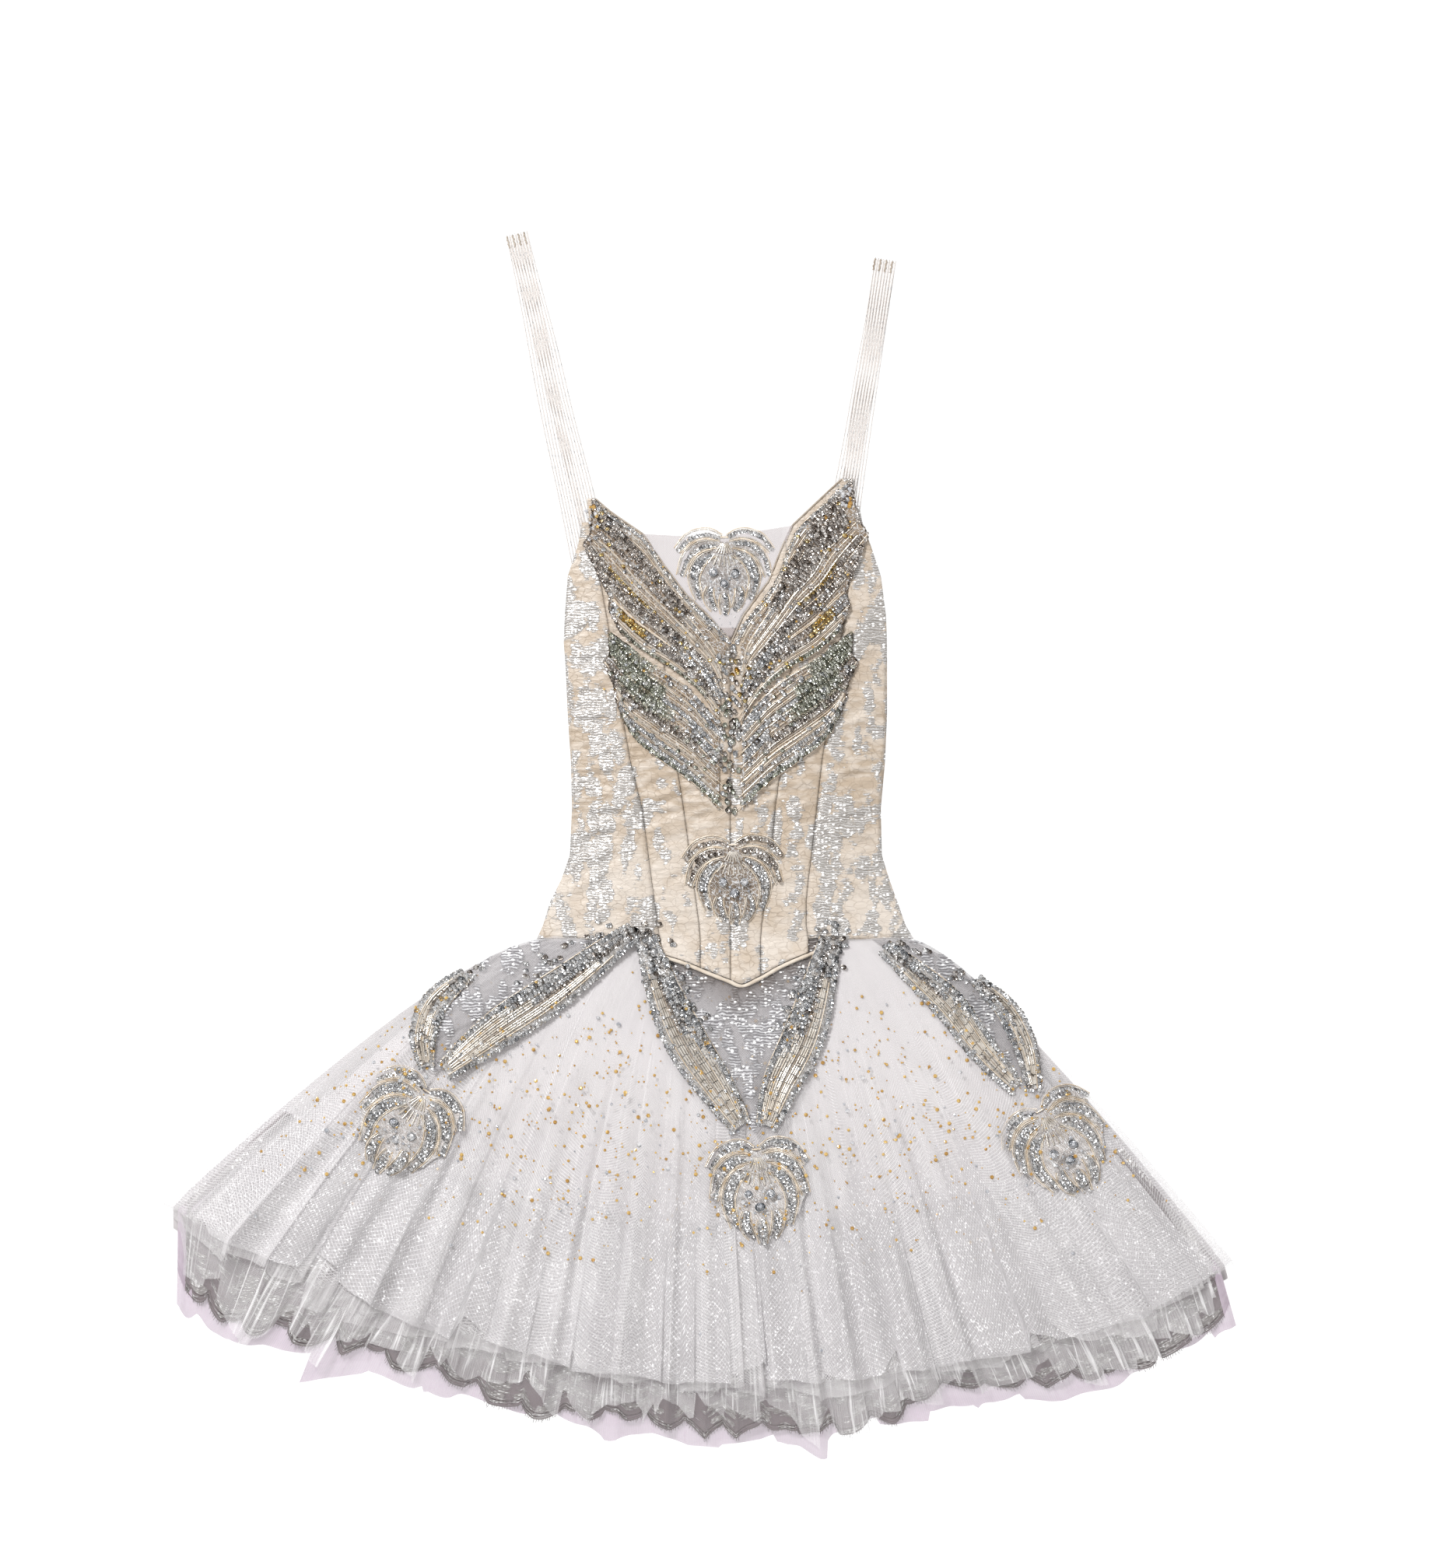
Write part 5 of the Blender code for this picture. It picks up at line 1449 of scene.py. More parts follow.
class BeadRows:
    """The beads of one part of the costume, in one batch for each kind."""

    def __init__(self, name, thread_finish=taupe_thread):
        self.name, self.thread_finish = name, thread_finish
        kinds = (*SEQUINS, "bugles", "beads", "threads", "stones", "amber")
        self.batches = {kind: Batch() for kind in kinds}

    def sequins(self, kind, line, size, pitch=0.66, tilt=0.34, lift=0.5):
        """A row of cups along a line, each leaning on the next like roof tiles."""
        path = laid(line, lift, size * pitch, 3)
        run = along(path)
        lean = rng.normal(0, 0.16, (len(path), 2))
        normal = np.array([0, 0, 1.0]) - run * tilt
        normal[:, :2] += lean
        normal /= np.linalg.norm(normal, axis=1, keepdims=True)
        side = np.cross(normal, run)
        side /= np.linalg.norm(side, axis=1, keepdims=True)
        ahead = np.cross(side, normal)
        spin = rng.uniform(0, math.tau, len(path))[:, None]
        first, second = ahead * np.cos(spin) + side * np.sin(spin), side * np.cos(spin) - ahead * np.sin(spin)
        path[:, :2] += rng.normal(0, 0.05 * size, (len(path), 2))
        path[:, 2] += rng.uniform(0, 0.5, len(path))
        axes = np.stack([first, second, normal], -1)
        sizes = 0.5 * size * rng.uniform(0.9, 1.08, len(path))
        self.batches[kind].stamp(CUP, CUP_FACES, path, axes, sizes)

    def bugles(self, line, radius=0.75, length=9.0, gap=0.8):
        """Bugles end to end along a line."""
        path = laid(line, radius * 0.8, 1.5, 5)
        runs = np.concatenate([[0], np.cumsum(np.linalg.norm(np.diff(path, axis=0), axis=1))])
        count = max(1, int(runs[-1] / (length + gap)))
        begin = np.linspace(0, runs[-1], count + 1)[:-1] + gap / 2
        stop = np.append(begin[1:], runs[-1]) - gap
        starts, ends = (
            np.column_stack([np.interp(at, runs, path[:, k]) for k in range(3)]) for at in (begin, stop)
        )
        rods(self.batches["bugles"], starts, ends, radius)

    def cord(self, line, radius=0.75, kind="beads"):
        """A row of seed beads, as one tube that narrows between beads."""
        tube(self.batches[kind], laid(line, radius * 0.7, radius * 1.3, 7), radius, 6, 0.34)

    def thread(self, line, radius=0.5):
        tube(self.batches["threads"], laid(line, radius * 0.8, 2.2, 5), radius, 5, 0.12)

    def stone(self, x, y, size, kind="stones", lift=0.4, ground=everything):
        z = ground.height(x, y, 3.0) + lift
        spin = rng.uniform(0, 1)
        lean = rng.normal(0, 0.14, 2)
        normal = np.array([lean[0], lean[1], 1.0])
        normal /= np.linalg.norm(normal)
        first = np.cross(normal, (math.sin(spin), math.cos(spin), 0))
        first /= np.linalg.norm(first)
        axes = np.stack([first, np.cross(normal, first), normal], -1)[None]
        self.batches[kind].stamp(STONE, STONE_FACES, [(x, y, z)], axes, [size / 2])


print("kinds of bead:", list(BeadRows("sample").batches))

# %% [markdown]
# ## Beadwork on patches
# An embroiderer fills one small shape at a time: a feather, a leaf, a petal. Here each shape is a patch
# between two edge lines. A fill says with what, over which part of the patch's length and width, in how many
# rows. The same few kinds of fill then make every motif on the costume.

# %% Patches and fills
Fill = namedtuple("Fill", "kind start end near far rows size")
LINE_ORDER = ("bugles", "threads", "beads", "threads")


class Beadwork(BeadRows):
    """Rows laid side by side over patches."""

    def fill(self, near, far, fill):
        """Rows over a patch between two lines of as many points. Every second row stops where it narrows."""
        at = np.linspace(0, 1, len(near))
        pitch = np.linalg.norm(far - near, axis=1) * (fill.far - fill.near) / max(1, fill.rows - 1)
        for k, share in enumerate(np.linspace(fill.near, fill.far, fill.rows)):
            keep = (at >= fill.start) & (at <= fill.end)
            if k % 2:
                keep &= pitch > 0.75 * fill.size
            if keep.sum() < 3:
                continue
            line = (near + (far - near) * share)[keep] + rng.normal(0, 0.12, (1, 2))
            kind = LINE_ORDER[k % len(LINE_ORDER)] if fill.kind == "lines" else fill.kind
            if kind in SEQUINS:
                self.sequins(kind, line, fill.size)
            elif kind == "bugles":
                self.bugles(line, 0.5 * fill.size)
            elif kind == "beads":
                self.cord(line, 0.4 * fill.size)
            else:
                self.thread(line, 0.4 * fill.size)

    def sprinkle(self, lines, count, kinds):
        """Single sequins thrown over the patches between the lines."""
        lines = np.array(lines)
        for _ in range(count):
            row, column = rng.integers(1, len(lines)), rng.integers(2, lines.shape[1])
            near, far = lines[row - 1, column], lines[row, column]
            spot = near + (far - near) * rng.uniform()
            kind = kinds[rng.integers(len(kinds))]
            self.sequins(kind, np.array([spot, spot + (1.2, 0.0)]), rng.uniform(2.8, 4.2), 2.0, 0.25, 1.1)

    def sew_on(self):
        """Makes one piece of each kind that was used."""
        looks = {**SEQUINS, "bugles": clear_bugle, "beads": seed_bead, "threads": self.thread_finish,
                 "stones": clear_stone, "amber": amber_stone}
        for kind, batch in self.batches.items():
            if batch.count:
                smooth = kind in ("beads", "threads", "bugles")
                word = f"{kind}_sequins" if kind in SEQUINS else kind
                batch.make(f"{self.name}_{word}", looks[kind], "beading", smooth)
                print(self.name, kind, sum(len(f) for f in batch.faces), "faces")


print("rows of lines take turns:", LINE_ORDER)

# %% [markdown]
# ## The feather sprays
# Two sprays of beaded feathers rise from the centre seam to the strap points. Their ribs are lines from the
# seam outwards, and a feather is the patch between two ribs. The right side is the left one mirrored, with
# its top lifted to that side's higher neckline.

# %% Spray ribs
SPRAY_UPPER = (
    ((-6, 140), (-22, 172), (-46, 202), (-72, 232), (-98, 262), (-129, 289)),
    ((-6, 124), (-20, 156), (-50, 190), (-82, 222), (-108, 252), (-131, 272)),
    ((-7, 112), (-22, 145), (-56, 178), (-88, 205), (-116, 232), (-137, 262)),
    ((-8, 104), (-24, 136), (-56, 164), (-88, 188), (-112, 210)),
    ((-8, 97), (-26, 128), (-54, 152), (-84, 172), (-113, 199)),
    ((-8, 90), (-26, 120), (-52, 142), (-82, 160), (-102, 178)),
)
SPRAY_LOWER = (
    ((-8, 84), (-26, 112), (-50, 133), (-78, 150), (-98, 165)),
    ((-8, 72), (-30, 102), (-58, 124), (-86, 144), (-113, 176)),
    ((-8, 58), (-34, 88), (-64, 111), (-92, 132), (-112, 156)),
    ((-8, 44), (-36, 76), (-70, 100), (-98, 122), (-118, 149)),
    ((-8, 30), (-34, 58), (-68, 82), (-96, 104), (-108, 126)),
    ((-8, 18), (-32, 44), (-62, 66), (-90, 88), (-107, 115)),
    ((-8, 6), (-30, 30), (-58, 50), (-86, 72), (-100, 96)),
)
RIB_POINTS = 61
RIB_BELOW_NECK = 1.6, 2.4  # mm inwards and down from the neckline


def neck_rib(word):
    inwards, down = RIB_BELOW_NECK
    return curve_through([(-p.across - inwards, p.y - down) for p in NECKS[word]], RIB_POINTS)


def spray_ribs(ribs, word, along_neck):
    lines = [curve_through(rib, RIB_POINTS) for rib in ribs]
    if along_neck:
        left, own = neck_rib("left"), neck_rib(word)
        lines.insert(0, left)
        rise = own - left
        lines = [line + rise * (1 - i / (len(lines) - 1)) for i, line in enumerate(lines)]
    for line in lines:
        line[:, 0] += 4.5 * (1 - smoothstep(-line[:, 0] / 30))
    if word == "right":
        lines = [np.array((2 * CENTRE_SEAM, 0)) + line * (-1, 1) for line in lines]
    return lines


print("ribs in the upper spray:", len(SPRAY_UPPER) + 1)

# %% [markdown]
# The fills of a feather stand under the number of its first rib. Bright sequins, steel ones and rows of
# threads and bugles take turns, so that each feather stands out from its neighbours.

# %% Fill the sprays
UPPER_FILLS = {
    0: (Fill("silver", 0.02, 1.0, 0.10, 0.10, 1, 5.0), Fill("lines", 0.10, 0.74, 0.30, 0.62, 4, 1.6),
        Fill("steel", 0.30, 0.98, 0.72, 0.94, 2, 4.8), Fill("steel", 0.76, 1.0, 0.3, 0.6, 2, 4.8)),
    1: (Fill("steel", 0.34, 0.96, 0.12, 0.88, 4, 5.4), Fill("lines", 0.04, 0.38, 0.1, 0.9, 5, 1.6),
        Fill("silver", 0.20, 0.44, 0.3, 0.7, 1, 4.6)),
    2: (Fill("lines", 0.02, 0.97, 0.05, 0.58, 5, 1.6), Fill("steel", 0.10, 0.97, 0.80, 0.80, 1, 5.0),
        Fill("gold", 0.52, 0.80, 0.66, 0.66, 1, 4.4)),
    3: (Fill("silver", 0.06, 0.45, 0.2, 0.8, 2, 5.0), Fill("steel", 0.36, 0.99, 0.15, 0.50, 2, 5.0),
        Fill("lines", 0.40, 0.96, 0.62, 0.92, 3, 1.6)),
    4: (Fill("steel", 0.06, 0.72, 0.25, 0.75, 2, 5.0), Fill("gold", 0.70, 0.90, 0.3, 0.7, 2, 4.8),
        Fill("silver", 0.90, 1.0, 0.3, 0.7, 2, 4.8)),
    5: (Fill("lines", 0.04, 0.97, 0.02, 0.60, 5, 1.6), Fill("moss", 0.20, 0.97, 0.82, 0.82, 1, 4.6)),
}
LOWER_FILLS = {
    0: (Fill("silver", 0.0, 0.3, 0.25, 0.75, 2, 4.8), Fill("lines", 0.3, 0.7, 0.1, 0.9, 4, 1.6),
        Fill("moss", 0.66, 1.0, 0.1, 0.9, 3, 4.4)),
    1: (Fill("moss", 0.50, 1.0, 0.0, 1.0, 5, 4.4), Fill("lines", 0.04, 0.50, 0.1, 0.55, 4, 1.6),
        Fill("silver", 0.10, 0.50, 0.8, 0.8, 1, 4.6)),
    2: (Fill("moss", 0.40, 0.84, 0.05, 0.95, 4, 4.4), Fill("steel", 0.84, 1.0, 0.05, 0.95, 4, 4.6),
        Fill("silver", 0.04, 0.24, 0.3, 0.7, 2, 4.8), Fill("lines", 0.24, 0.44, 0.1, 0.9, 4, 1.6)),
    3: (Fill("steel", 0.20, 0.96, 0.1, 0.4, 2, 4.8), Fill("lines", 0.04, 0.90, 0.55, 1.0, 4, 1.6)),
    4: (Fill("lines", 0.04, 0.98, 0.10, 0.55, 4, 1.6), Fill("silver", 0.30, 0.92, 0.76, 0.76, 1, 4.8),
        Fill("threads", 0.04, 0.98, 0.90, 0.96, 2, 1.6)),
    5: (Fill("moss", 0.02, 0.99, 0.72, 0.72, 1, 4.8), Fill("silver", 0.10, 0.99, 0.46, 0.46, 1, 4.6),
        Fill("lines", 0.04, 0.95, 0.0, 0.30, 3, 1.6)),
}
SPRINKLED = 90
bodice_beads = Beadwork("bodice")
for word in SIDES:
    for ribs, fills, along_neck in ((SPRAY_UPPER, UPPER_FILLS, True), (SPRAY_LOWER, LOWER_FILLS, False)):
        lines = spray_ribs(ribs, word, along_neck)
        for i, (near, far) in enumerate(zip(lines, lines[1:])):
            for fill in fills[i]:
                bodice_beads.fill(near, far, fill)
            bodice_beads.cord(near, 0.7)
        bodice_beads.cord(lines[-1], 0.7)
        tips = np.array([line[-1] for line in lines])
        bodice_beads.sequins("steel", tips, 4.6)
        thrown = ("silver", "steel", "silver", "gold") if along_neck else ("silver", "silver", "moss")
        bodice_beads.sprinkle(lines, SPRINKLED, thrown)
print("sprays filled")

# %% [markdown]
# ## Loose sequins and strap stones
# Between the feathers single sequins are scattered on the satin, and they gather along the centre seam. The
# strap points carry a knot of large stones, and a few amber ones lie among the feathers.

# %% Add single sequins and stones
SEAM_SEQUINS, KNOT_STONES, FEATHER_STONES = 44, 16, 26
STRAP_POINTS = {"left": np.array((-131, 300)), "right": np.array((113, 316))}
LOOSE = ((-57, 132), (-37, 121), (-24, 103), (4, 115), (-6, 85), (15, 86), (37, 121), (-46, 96), (50, 96),
         (-70, 128), (62, 132), (28, 72), (-30, 74), (-16, 60), (24, 54), (60, 84), (-62, 84))
for x, y in LOOSE:
    bodice_beads.sequins("steel", np.array([(x - 1, y), (x + 1, y)]), 5.2, 2.0, 0.05)
    bodice_beads.stone(x, y, 1.8, lift=1.4)
for word, side in SIDES.items():
    for _ in range(SEAM_SEQUINS):
        x, y = CENTRE_SEAM + side * abs(rng.normal(0, 4.5)), rng.uniform(4, 166)
        kind = ("silver", "steel", "gold" if y > 110 else "moss")[rng.integers(3)]
        bodice_beads.sequins(kind, np.array([(x, y), (x, y + 1.0)]), 4.6, 2.0, 0.2, 1.4)
    for k in range(KNOT_STONES):
        x, y = STRAP_POINTS[word] + rng.uniform((-5, -22), (7, 2))
        bodice_beads.stone(x, y, rng.uniform(3.0, 5.5), "stones" if k % 4 else "amber", 0.8)
    for k in range(FEATHER_STONES):
        y = rng.uniform(120, 290)
        x = side * rng.uniform(20, 120)
        if side * x > abs(neckline(word, y)) + 2:
            bodice_beads.stone(x, y, rng.uniform(1.8, 3.0), "amber" if k % 3 else "stones", 1.6)
print("loose pieces:", len(LOOSE))

# %% [markdown]
# ## Palmettes
# Five palmettes, an ornament as old as embroidery itself, are sewn on: one on the neck insert, one on the
# belly and three on the skirt. Each has arching petals under a knot. A petal is a patch that tapers at both
# ends, so one table of centre lines makes them all.

# %% Petals
Palmette = namedtuple("Palmette", "name knot turn size broad tone")
PALMETTES = (
    Palmette("neck", (-3.0, 267.0), 0.0, 68.0, 1.16, "silver"),
    Palmette("belly", (5.0, -29.0), 2.0, 70.0, 1.16, "steel"),
    Palmette("left", (-289.0, -264.0), -32.0, 82.0, 1.0, "silver"),
    Palmette("centre", (28.0, -320.0), 4.0, 82.0, 1.0, "silver"),
    Palmette("right", (300.0, -283.0), 31.0, 82.0, 1.0, "silver"),
)
Petal = namedtuple("Petal", "width rows path")
PETALS = (  # x outwards and y down from the knot, as shares of the size
    Petal(0.10, 2, ((0.04, -0.02), (0.21, -0.09), (0.42, -0.03), (0.58, 0.16))),
    Petal(0.11, 2, ((0.10, 0.07), (0.28, 0.09), (0.45, 0.24), (0.54, 0.52))),
    Petal(0.12, 2, ((0.13, 0.19), (0.28, 0.30), (0.37, 0.54), (0.31, 0.86))),
    Petal(0.10, 2, ((0.17, 0.68), (0.19, 0.79), (0.17, 0.90), (0.12, 1.00))),
    Petal(0.10, 2, ((0.0, 0.78), (0.0, 0.87), (0.0, 0.97), (0.0, 1.07))),
)
PETAL_POINTS = 31


def on_palmette(p, points, side=1):
    a = math.radians(p.turn)
    across, down = np.array([math.cos(a), math.sin(a)]), np.array([math.sin(a), -math.cos(a)])
    points = np.asarray(points, float) * (p.size * p.broad, p.size)
    return np.array(p.knot) + side * points[:, :1] * across + points[:, 1:] * down


def tapered(line, width, tip=0.3):
    """The two edges of a leaf of a width round its centre line."""
    t = np.linspace(0, 1, len(line))
    run = np.gradient(line, axis=0)
    side = np.column_stack([run[:, 1], -run[:, 0]]) / np.linalg.norm(run, axis=1, keepdims=True)
    half = 0.5 * width * (tip + (1 - tip) * np.sin(math.pi * (0.08 + 0.84 * t)))[:, None]
    return line - side * half, line + side * half


print("palmettes:", len(PALMETTES), "with", len(PETALS), "kinds of petal")

# %% [markdown]
# Sequins fill each petal, and bugles and a cord of seed beads edge it. Under the knot come two short fans of
# bugles, then three large sequins with a stone on each, and small stones between the petals.

# %% Sew the palmettes
FAN_TURNS = range(-30, 31, 10)  # degrees, the bugles under the knot
palmette_beads = Beadwork("palmettes", pale_thread)
for p in PALMETTES:
    for petal in PETALS:
        for side in (-1, 1) if petal.path[0][0] else (1,):
            line = curve_through(on_palmette(p, petal.path, side), PETAL_POINTS)
            near, far = tapered(line, petal.width * p.size)
            tone = p.tone if petal.path[0][1] < 0.1 else "silver"
            palmette_beads.fill(near, far, Fill(tone, 0.04, 0.98, 0.26, 0.74, petal.rows, 4.8))
            for edge, other in ((near, far), (far, near)):
                outwards = (edge - other) / np.linalg.norm(edge - other, axis=1, keepdims=True)
                palmette_beads.bugles(edge + outwards * 0.6, 0.6, 7.0)
                palmette_beads.cord(edge + outwards * 2.1, 0.65)
    for ring, reach in ((0.06, 0.22), (0.235, 0.40)):
        for degrees in FAN_TURNS:
            a = math.radians(degrees)
            spoke = [(math.sin(a) * d, math.cos(a) * d) for d in (ring, reach)]
            palmette_beads.bugles(on_palmette(p, spoke), 0.8, 14.0)
    for x, y in ((-0.13, 0.47), (0.13, 0.49), (0.0, 0.63)):
        at = on_palmette(p, [(x, y)])[0]
        palmette_beads.sequins("silver", np.array([at - (0.5, 0), at + (0.5, 0)]), 8.6, 2.0, 0.1, 0.9)
        palmette_beads.stone(*at, 4.4, lift=2.2)
    for x, y in ((-0.05, 0.55), (0.06, 0.56), (-0.07, 0.70), (0.07, 0.71), (-0.17, 0.60), (0.17, 0.61)):
        at = on_palmette(p, [(x, y)])[0]
        palmette_beads.stone(*at, 3.0, lift=1.0)
    knot = on_palmette(p, [(-0.05, -0.03), (0.05, -0.03)])
    palmette_beads.cord(knot, 1.2)
palmette_beads.sew_on()

# %% [markdown]
# ## Skirt bands
# Six beaded bands frame the hip lace and run down to the palmettes. They are leaves again, each with its
# own path and width, filled with bright sequins, a vein of bugles, and corded edges.

# %% Sew the skirt bands
Band = namedtuple("Band", "name outer width path")
BANDS = (  # outer is the side, seen along the path, that faces away from the hip lace
    Band("left_outer", "left", 26.0, ((-288, -238), (-291, -208), (-280, -178), (-252, -152))),
    Band("left_inner", "right", 38.0, ((-270, -242), (-222, -205), (-164, -166), (-92, -110))),
    Band("centre_left", "left", 40.0, ((13, -295), (-10, -260), (-38, -218), (-58, -176), (-78, -118))),
    Band("centre_right", "right", 40.0, ((37, -295), (50, -258), (70, -218), (84, -176), (98, -118))),
    Band("right_inner", "left", 30.0, ((276, -258), (244, -222), (214, -182), (187, -156), (152, -126))),
    Band("right_outer", "right", 22.0, ((293, -260), (287, -224), (270, -188), (240, -158))),
)
BAND_FILLS = (  # near and far count from the outer edge, start and end from the lower tip
    Fill("silver", 0.0, 1.0, 0.04, 0.12, 2, 5.8),
    Fill("beads", 0.0, 0.9, 0.20, 0.20, 1, 1.8),
    Fill("bugles", 0.02, 0.86, 0.27, 0.39, 3, 2.0),
    Fill("threads", 0.05, 0.80, 0.44, 0.44, 1, 2.0),
    Fill("bugles", 0.03, 0.55, 0.50, 0.62, 3, 2.0),
    Fill("beads", 0.03, 0.60, 0.68, 0.68, 1, 1.8),
    Fill("bugles", 0.05, 0.46, 0.75, 0.81, 2, 1.8),
    Fill("silver", 0.40, 1.0, 0.60, 0.90, 3, 5.8),
    Fill("steel", 0.58, 0.95, 0.48, 0.54, 1, 5.4),
    Fill("silver", 0.0, 0.62, 0.94, 0.94, 1, 5.4),
)
BAND_SPRINKLED = 24
skirt_beads = Beadwork("skirt")
for band in BANDS:
    left, right = tapered(curve_through(band.path, 61), band.width, 0.3)
    near, far = (left, right) if band.outer == "left" else (right, left)
    for fill in BAND_FILLS:
        skirt_beads.fill(near, far, fill)
    skirt_beads.cord(far, 0.8)
    skirt_beads.sprinkle((near, far), BAND_SPRINKLED, ("silver", "silver", "steel"))
print("bands:", len(BANDS))

# %% [markdown]
# The bands have no hard end. Single sequins are strewn beside them over the hip lace and towards the bodice,
# and a few are steel instead of silver.

# %% Strew sequins beside the bands
Spill = namedtuple("Spill", "count spread start end")
SPILLS = (  # single sequins thrown beside the bands, from start to end
    Spill(34, 6.0, (-96, -106), (-66, -124)), Spill(46, 8.0, (-62, -134), (-24, -206)),
    Spill(14, 5.0, (-70, -128), (-78, -170)), Spill(22, 6.0, (97, -110), (110, -118)),
    Spill(40, 8.0, (86, -134), (58, -202)), Spill(14, 5.0, (104, -126), (98, -160)),
    Spill(34, 7.0, (-118, -112), (-196, -150)), Spill(22, 6.0, (150, -120), (196, -136)),
    Spill(12, 4.0, (-262, -166), (-240, -146)), Spill(10, 4.0, (236, -158), (214, -146)),
)
ON_THE_SKIRT = 6.0  # mm, so that no sequin is thrown past the edge of the work
for spill in SPILLS:
    start, end = np.array(spill.start, float), np.array(spill.end, float)
    for _ in range(spill.count):
        spot = start + (end - start) * rng.uniform() + rng.normal(0, spill.spread, 2)
        kind = "steel" if rng.uniform() < 0.25 else "silver"
        if everything.height(*spot, 0.0) > ON_THE_SKIRT:
            skirt_beads.sequins(kind, np.array([spot, spot + (2.0, 0)]), 4.8, 2.0, 0.25)
print("strewn:", sum(spill.count for spill in SPILLS), "sequins at most")

# %% [markdown]
# ## Scattered crystals
# Gold and clear crystals are glued over the skirt, thick below the hip and thinning towards the hem. A
# seeded random draw in the fan's own s and r spreads them the same way on every run. Last come some larger
# clear stones, and tiny ones over the neck insert.

# %% Scatter the crystals
CRYSTALS, LARGE_STONES, NECK_STONES = 1500, 40, 60
CRYSTAL_SIZES, SIZE_SHARES = [1.5, 2.2, 3.2, 4.2], [0.44, 0.29, 0.18, 0.09]
raised_work = [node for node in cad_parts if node.startswith(("band_", "palmette_"))]
laid_skirt = Ground(cloth["top_net_skirt"], *raised_work)
scatter = np.random.default_rng(77)
placed = 0
while placed < CRYSTALS:
    s, r = scatter.uniform(-0.975, 0.975), scatter.beta(2.2, 2.0) * 0.72 + 0.10
    x, y = fan(s, r)
    if scatter.uniform() > 0.55 + 0.45 * math.sin(s * 7.0 + 1.0) ** 2:
        continue
    clear = scatter.uniform() < 0.12
    size = scatter.choice(CRYSTAL_SIZES, p=SIZE_SHARES) * (1.25 if clear else 1.0)
    skirt_beads.stone(x, y, size, "stones" if clear else "amber", 0.5, laid_skirt)
    placed += 1
for _ in range(LARGE_STONES):
    x, y = fan(scatter.uniform(-0.9, 0.9), scatter.uniform(0.2, 0.95))
    skirt_beads.stone(x, y, scatter.uniform(2.4, 4.2), "stones", 0.5, laid_skirt)
for _ in range(NECK_STONES):
    y = scatter.uniform(180, 262)
    x = scatter.uniform(neckline("left", y) + 4, neckline("right", y) - 4)
    bodice_beads.stone(x, y, scatter.uniform(0.9, 1.8), "stones", 0.3)
skirt_beads.sew_on()
bodice_beads.sew_on()
print("crystals and stones:", CRYSTALS + LARGE_STONES + NECK_STONES)

# %% [markdown]
# ## The beaded grounds
# Under the beads each motif has a stiff ground, sewn over with thread. Those are solids of the frame, and
# their shape is right, so they only take a material: brown-grey thread in rows, with a little metal.

# %% Finish the grounds
GROUNDS = {"spray": spray_ground, "band": band_ground, "palmette": palmette_ground,
           "palmette_belly": belly_ground, "palmette_neck": neck_ground}
for name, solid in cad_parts.items():
    ground_of = GROUNDS.get(name) or GROUNDS.get(name.split("_")[0])
    if ground_of:
        solid.data.materials.clear()
        solid.data.materials.append(ground_of)
print("grounds:", len(GROUNDS))

# %% [markdown]
# ## The cut of the cloth
# A Cut records what a sheet of cloth was cut to before it was gathered, sewn or laid: its width and length in
# metres, and its flat area where the cut isn't a rectangle. A gathered net's width is along its hem. Only the
# record is defined here; no sheet is given one.

# %% A record for each sheet's cut
Cut = namedtuple("Cut", "name width length area held rests_on")

# %% [markdown]
# ## The floor
# The costume lies on a plain white floor that glows a little, like a light table, so that the sheer hems stay
# light and cast hardly any shadow.

# %% Lay the floor
floor_finish, b, shader = finish("floor", Roughness=0.95, Specular_IOR_Level=0.1)
place = b.node("TexCoord").outputs["Object"]
grey = b.group(worn, Place=place, Clean=dye(96, 96, 96), Worn=dye(90, 90, 90), Patch=0.4, Share=0.5)[0]
b.feed(grey, shader["Base Color"])
b.feed(dye(255, 255, 255), shader["Emission Color"])
b.feed(0.98, shader["Emission Strength"])
mesh = bpy.data.meshes.new("floor")
FLOOR_HALF, FLOOR_Z = 4, -0.0005
corners = [(x * FLOOR_HALF, y * FLOOR_HALF, FLOOR_Z) for x, y in ((-1, -1), (1, -1), (1, 1), (-1, 1))]
mesh.from_pydata(corners, [], [(0, 1, 2, 3)])
mesh.materials.append(floor_finish)
floor = bpy.data.objects.new("floor", mesh)
bpy.context.scene.collection.objects.link(floor)
floor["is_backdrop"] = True
print("floor:", 2 * FLOOR_HALF, "m wide")

# %% [markdown]
# ## Light
# A key light from beyond the neckline shapes the folds, and two weak ones fill. A sky of bright and dark
# panes gives the sequins something to mirror. The camera itself sees the sky as plain white.

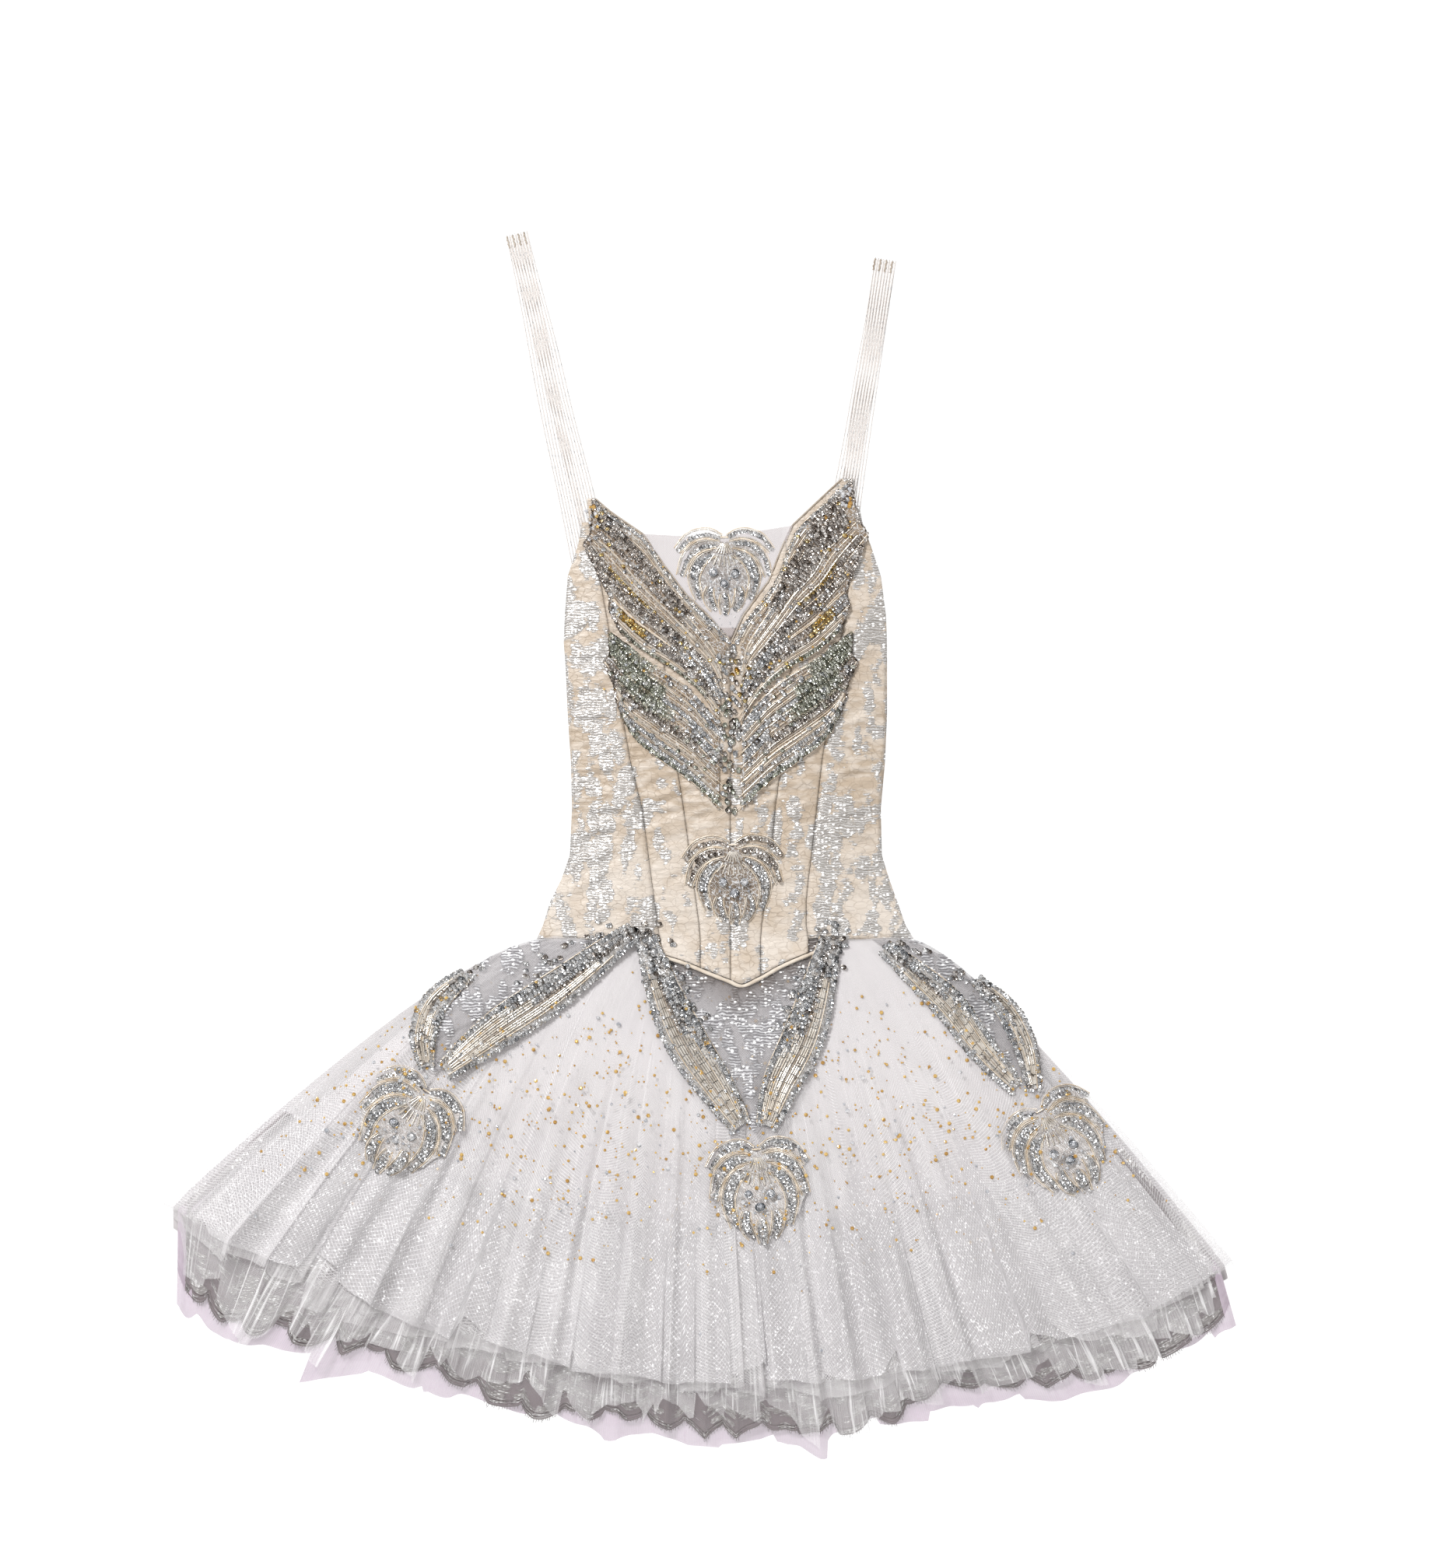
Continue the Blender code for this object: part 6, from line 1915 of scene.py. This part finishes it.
# %% Hang the lamps and the sky
Lamp = namedtuple("Lamp", "name place size watts")
LAMPS = (
    Lamp("key", (-1.8, 2.5, 3.3), 1.0, 180.0),
    Lamp("fill", (2.6, -0.9, 2.6), 1.4, 20.0),
    Lamp("foot", (-0.2, -2.6, 2.2), 1.0, 14.0),
)
for lamp in LAMPS:
    light = bpy.data.lights.new(lamp.name, "AREA")
    light.shape, light.size, light.energy = "DISK", lamp.size, lamp.watts
    holder = bpy.data.objects.new(lamp.name, light)
    holder.location = lamp.place
    holder.rotation_euler = (Vector((0, 0, 0)) - Vector(lamp.place)).to_track_quat("-Z", "Y").to_euler()
    bpy.context.scene.collection.objects.link(holder)

world = bpy.data.worlds.new("studio")
world.use_nodes = True
b = Bench(world.node_tree)
way = b.node("TexCoord").outputs["Generated"]
panes = b.ramp(b.noise(way, 3.2, 1.0)["Fac"], 0.46, 0.56)
overhead = b.ramp(b.split(way)[2], 0.80, 0.93)
sky = b.mix(b.math("MAXIMUM", panes, overhead), dye(136, 134, 132), dye(255, 253, 251))
seen = b.node("LightPath").outputs["Is Camera Ray"]
b.feed(b.mix(seen, sky, dye(255, 255, 255)), world.node_tree.nodes["Background"].inputs["Color"])
b.feed(b.ramp(seen, 0.0, 1.0, 0.70, 1.0), world.node_tree.nodes["Background"].inputs["Strength"])
bpy.context.scene.world = world
print("lamps:", [lamp.name for lamp in LAMPS])

# %% [markdown]
# ## Camera
# The costume is seen from straight above through a long lens, which keeps the thick parts from leaning out.

# %% Place the camera
camera = bpy.data.cameras.new("camera")
camera.sensor_width, camera.lens = 36.0, 100.0
holder = bpy.data.objects.new("camera", camera)
holder.location = (-0.0086, 0.0315, 4.2)
bpy.context.scene.collection.objects.link(holder)
bpy.context.scene.camera = holder
bpy.context.scene.view_settings.view_transform = "Standard"
print("camera height:", holder.location.z, "m")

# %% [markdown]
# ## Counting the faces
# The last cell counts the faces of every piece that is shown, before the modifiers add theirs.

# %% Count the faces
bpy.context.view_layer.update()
faces = sum(len(piece.data.polygons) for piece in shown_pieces() if piece.type == "MESH")
print("faces before the modifiers:", faces)
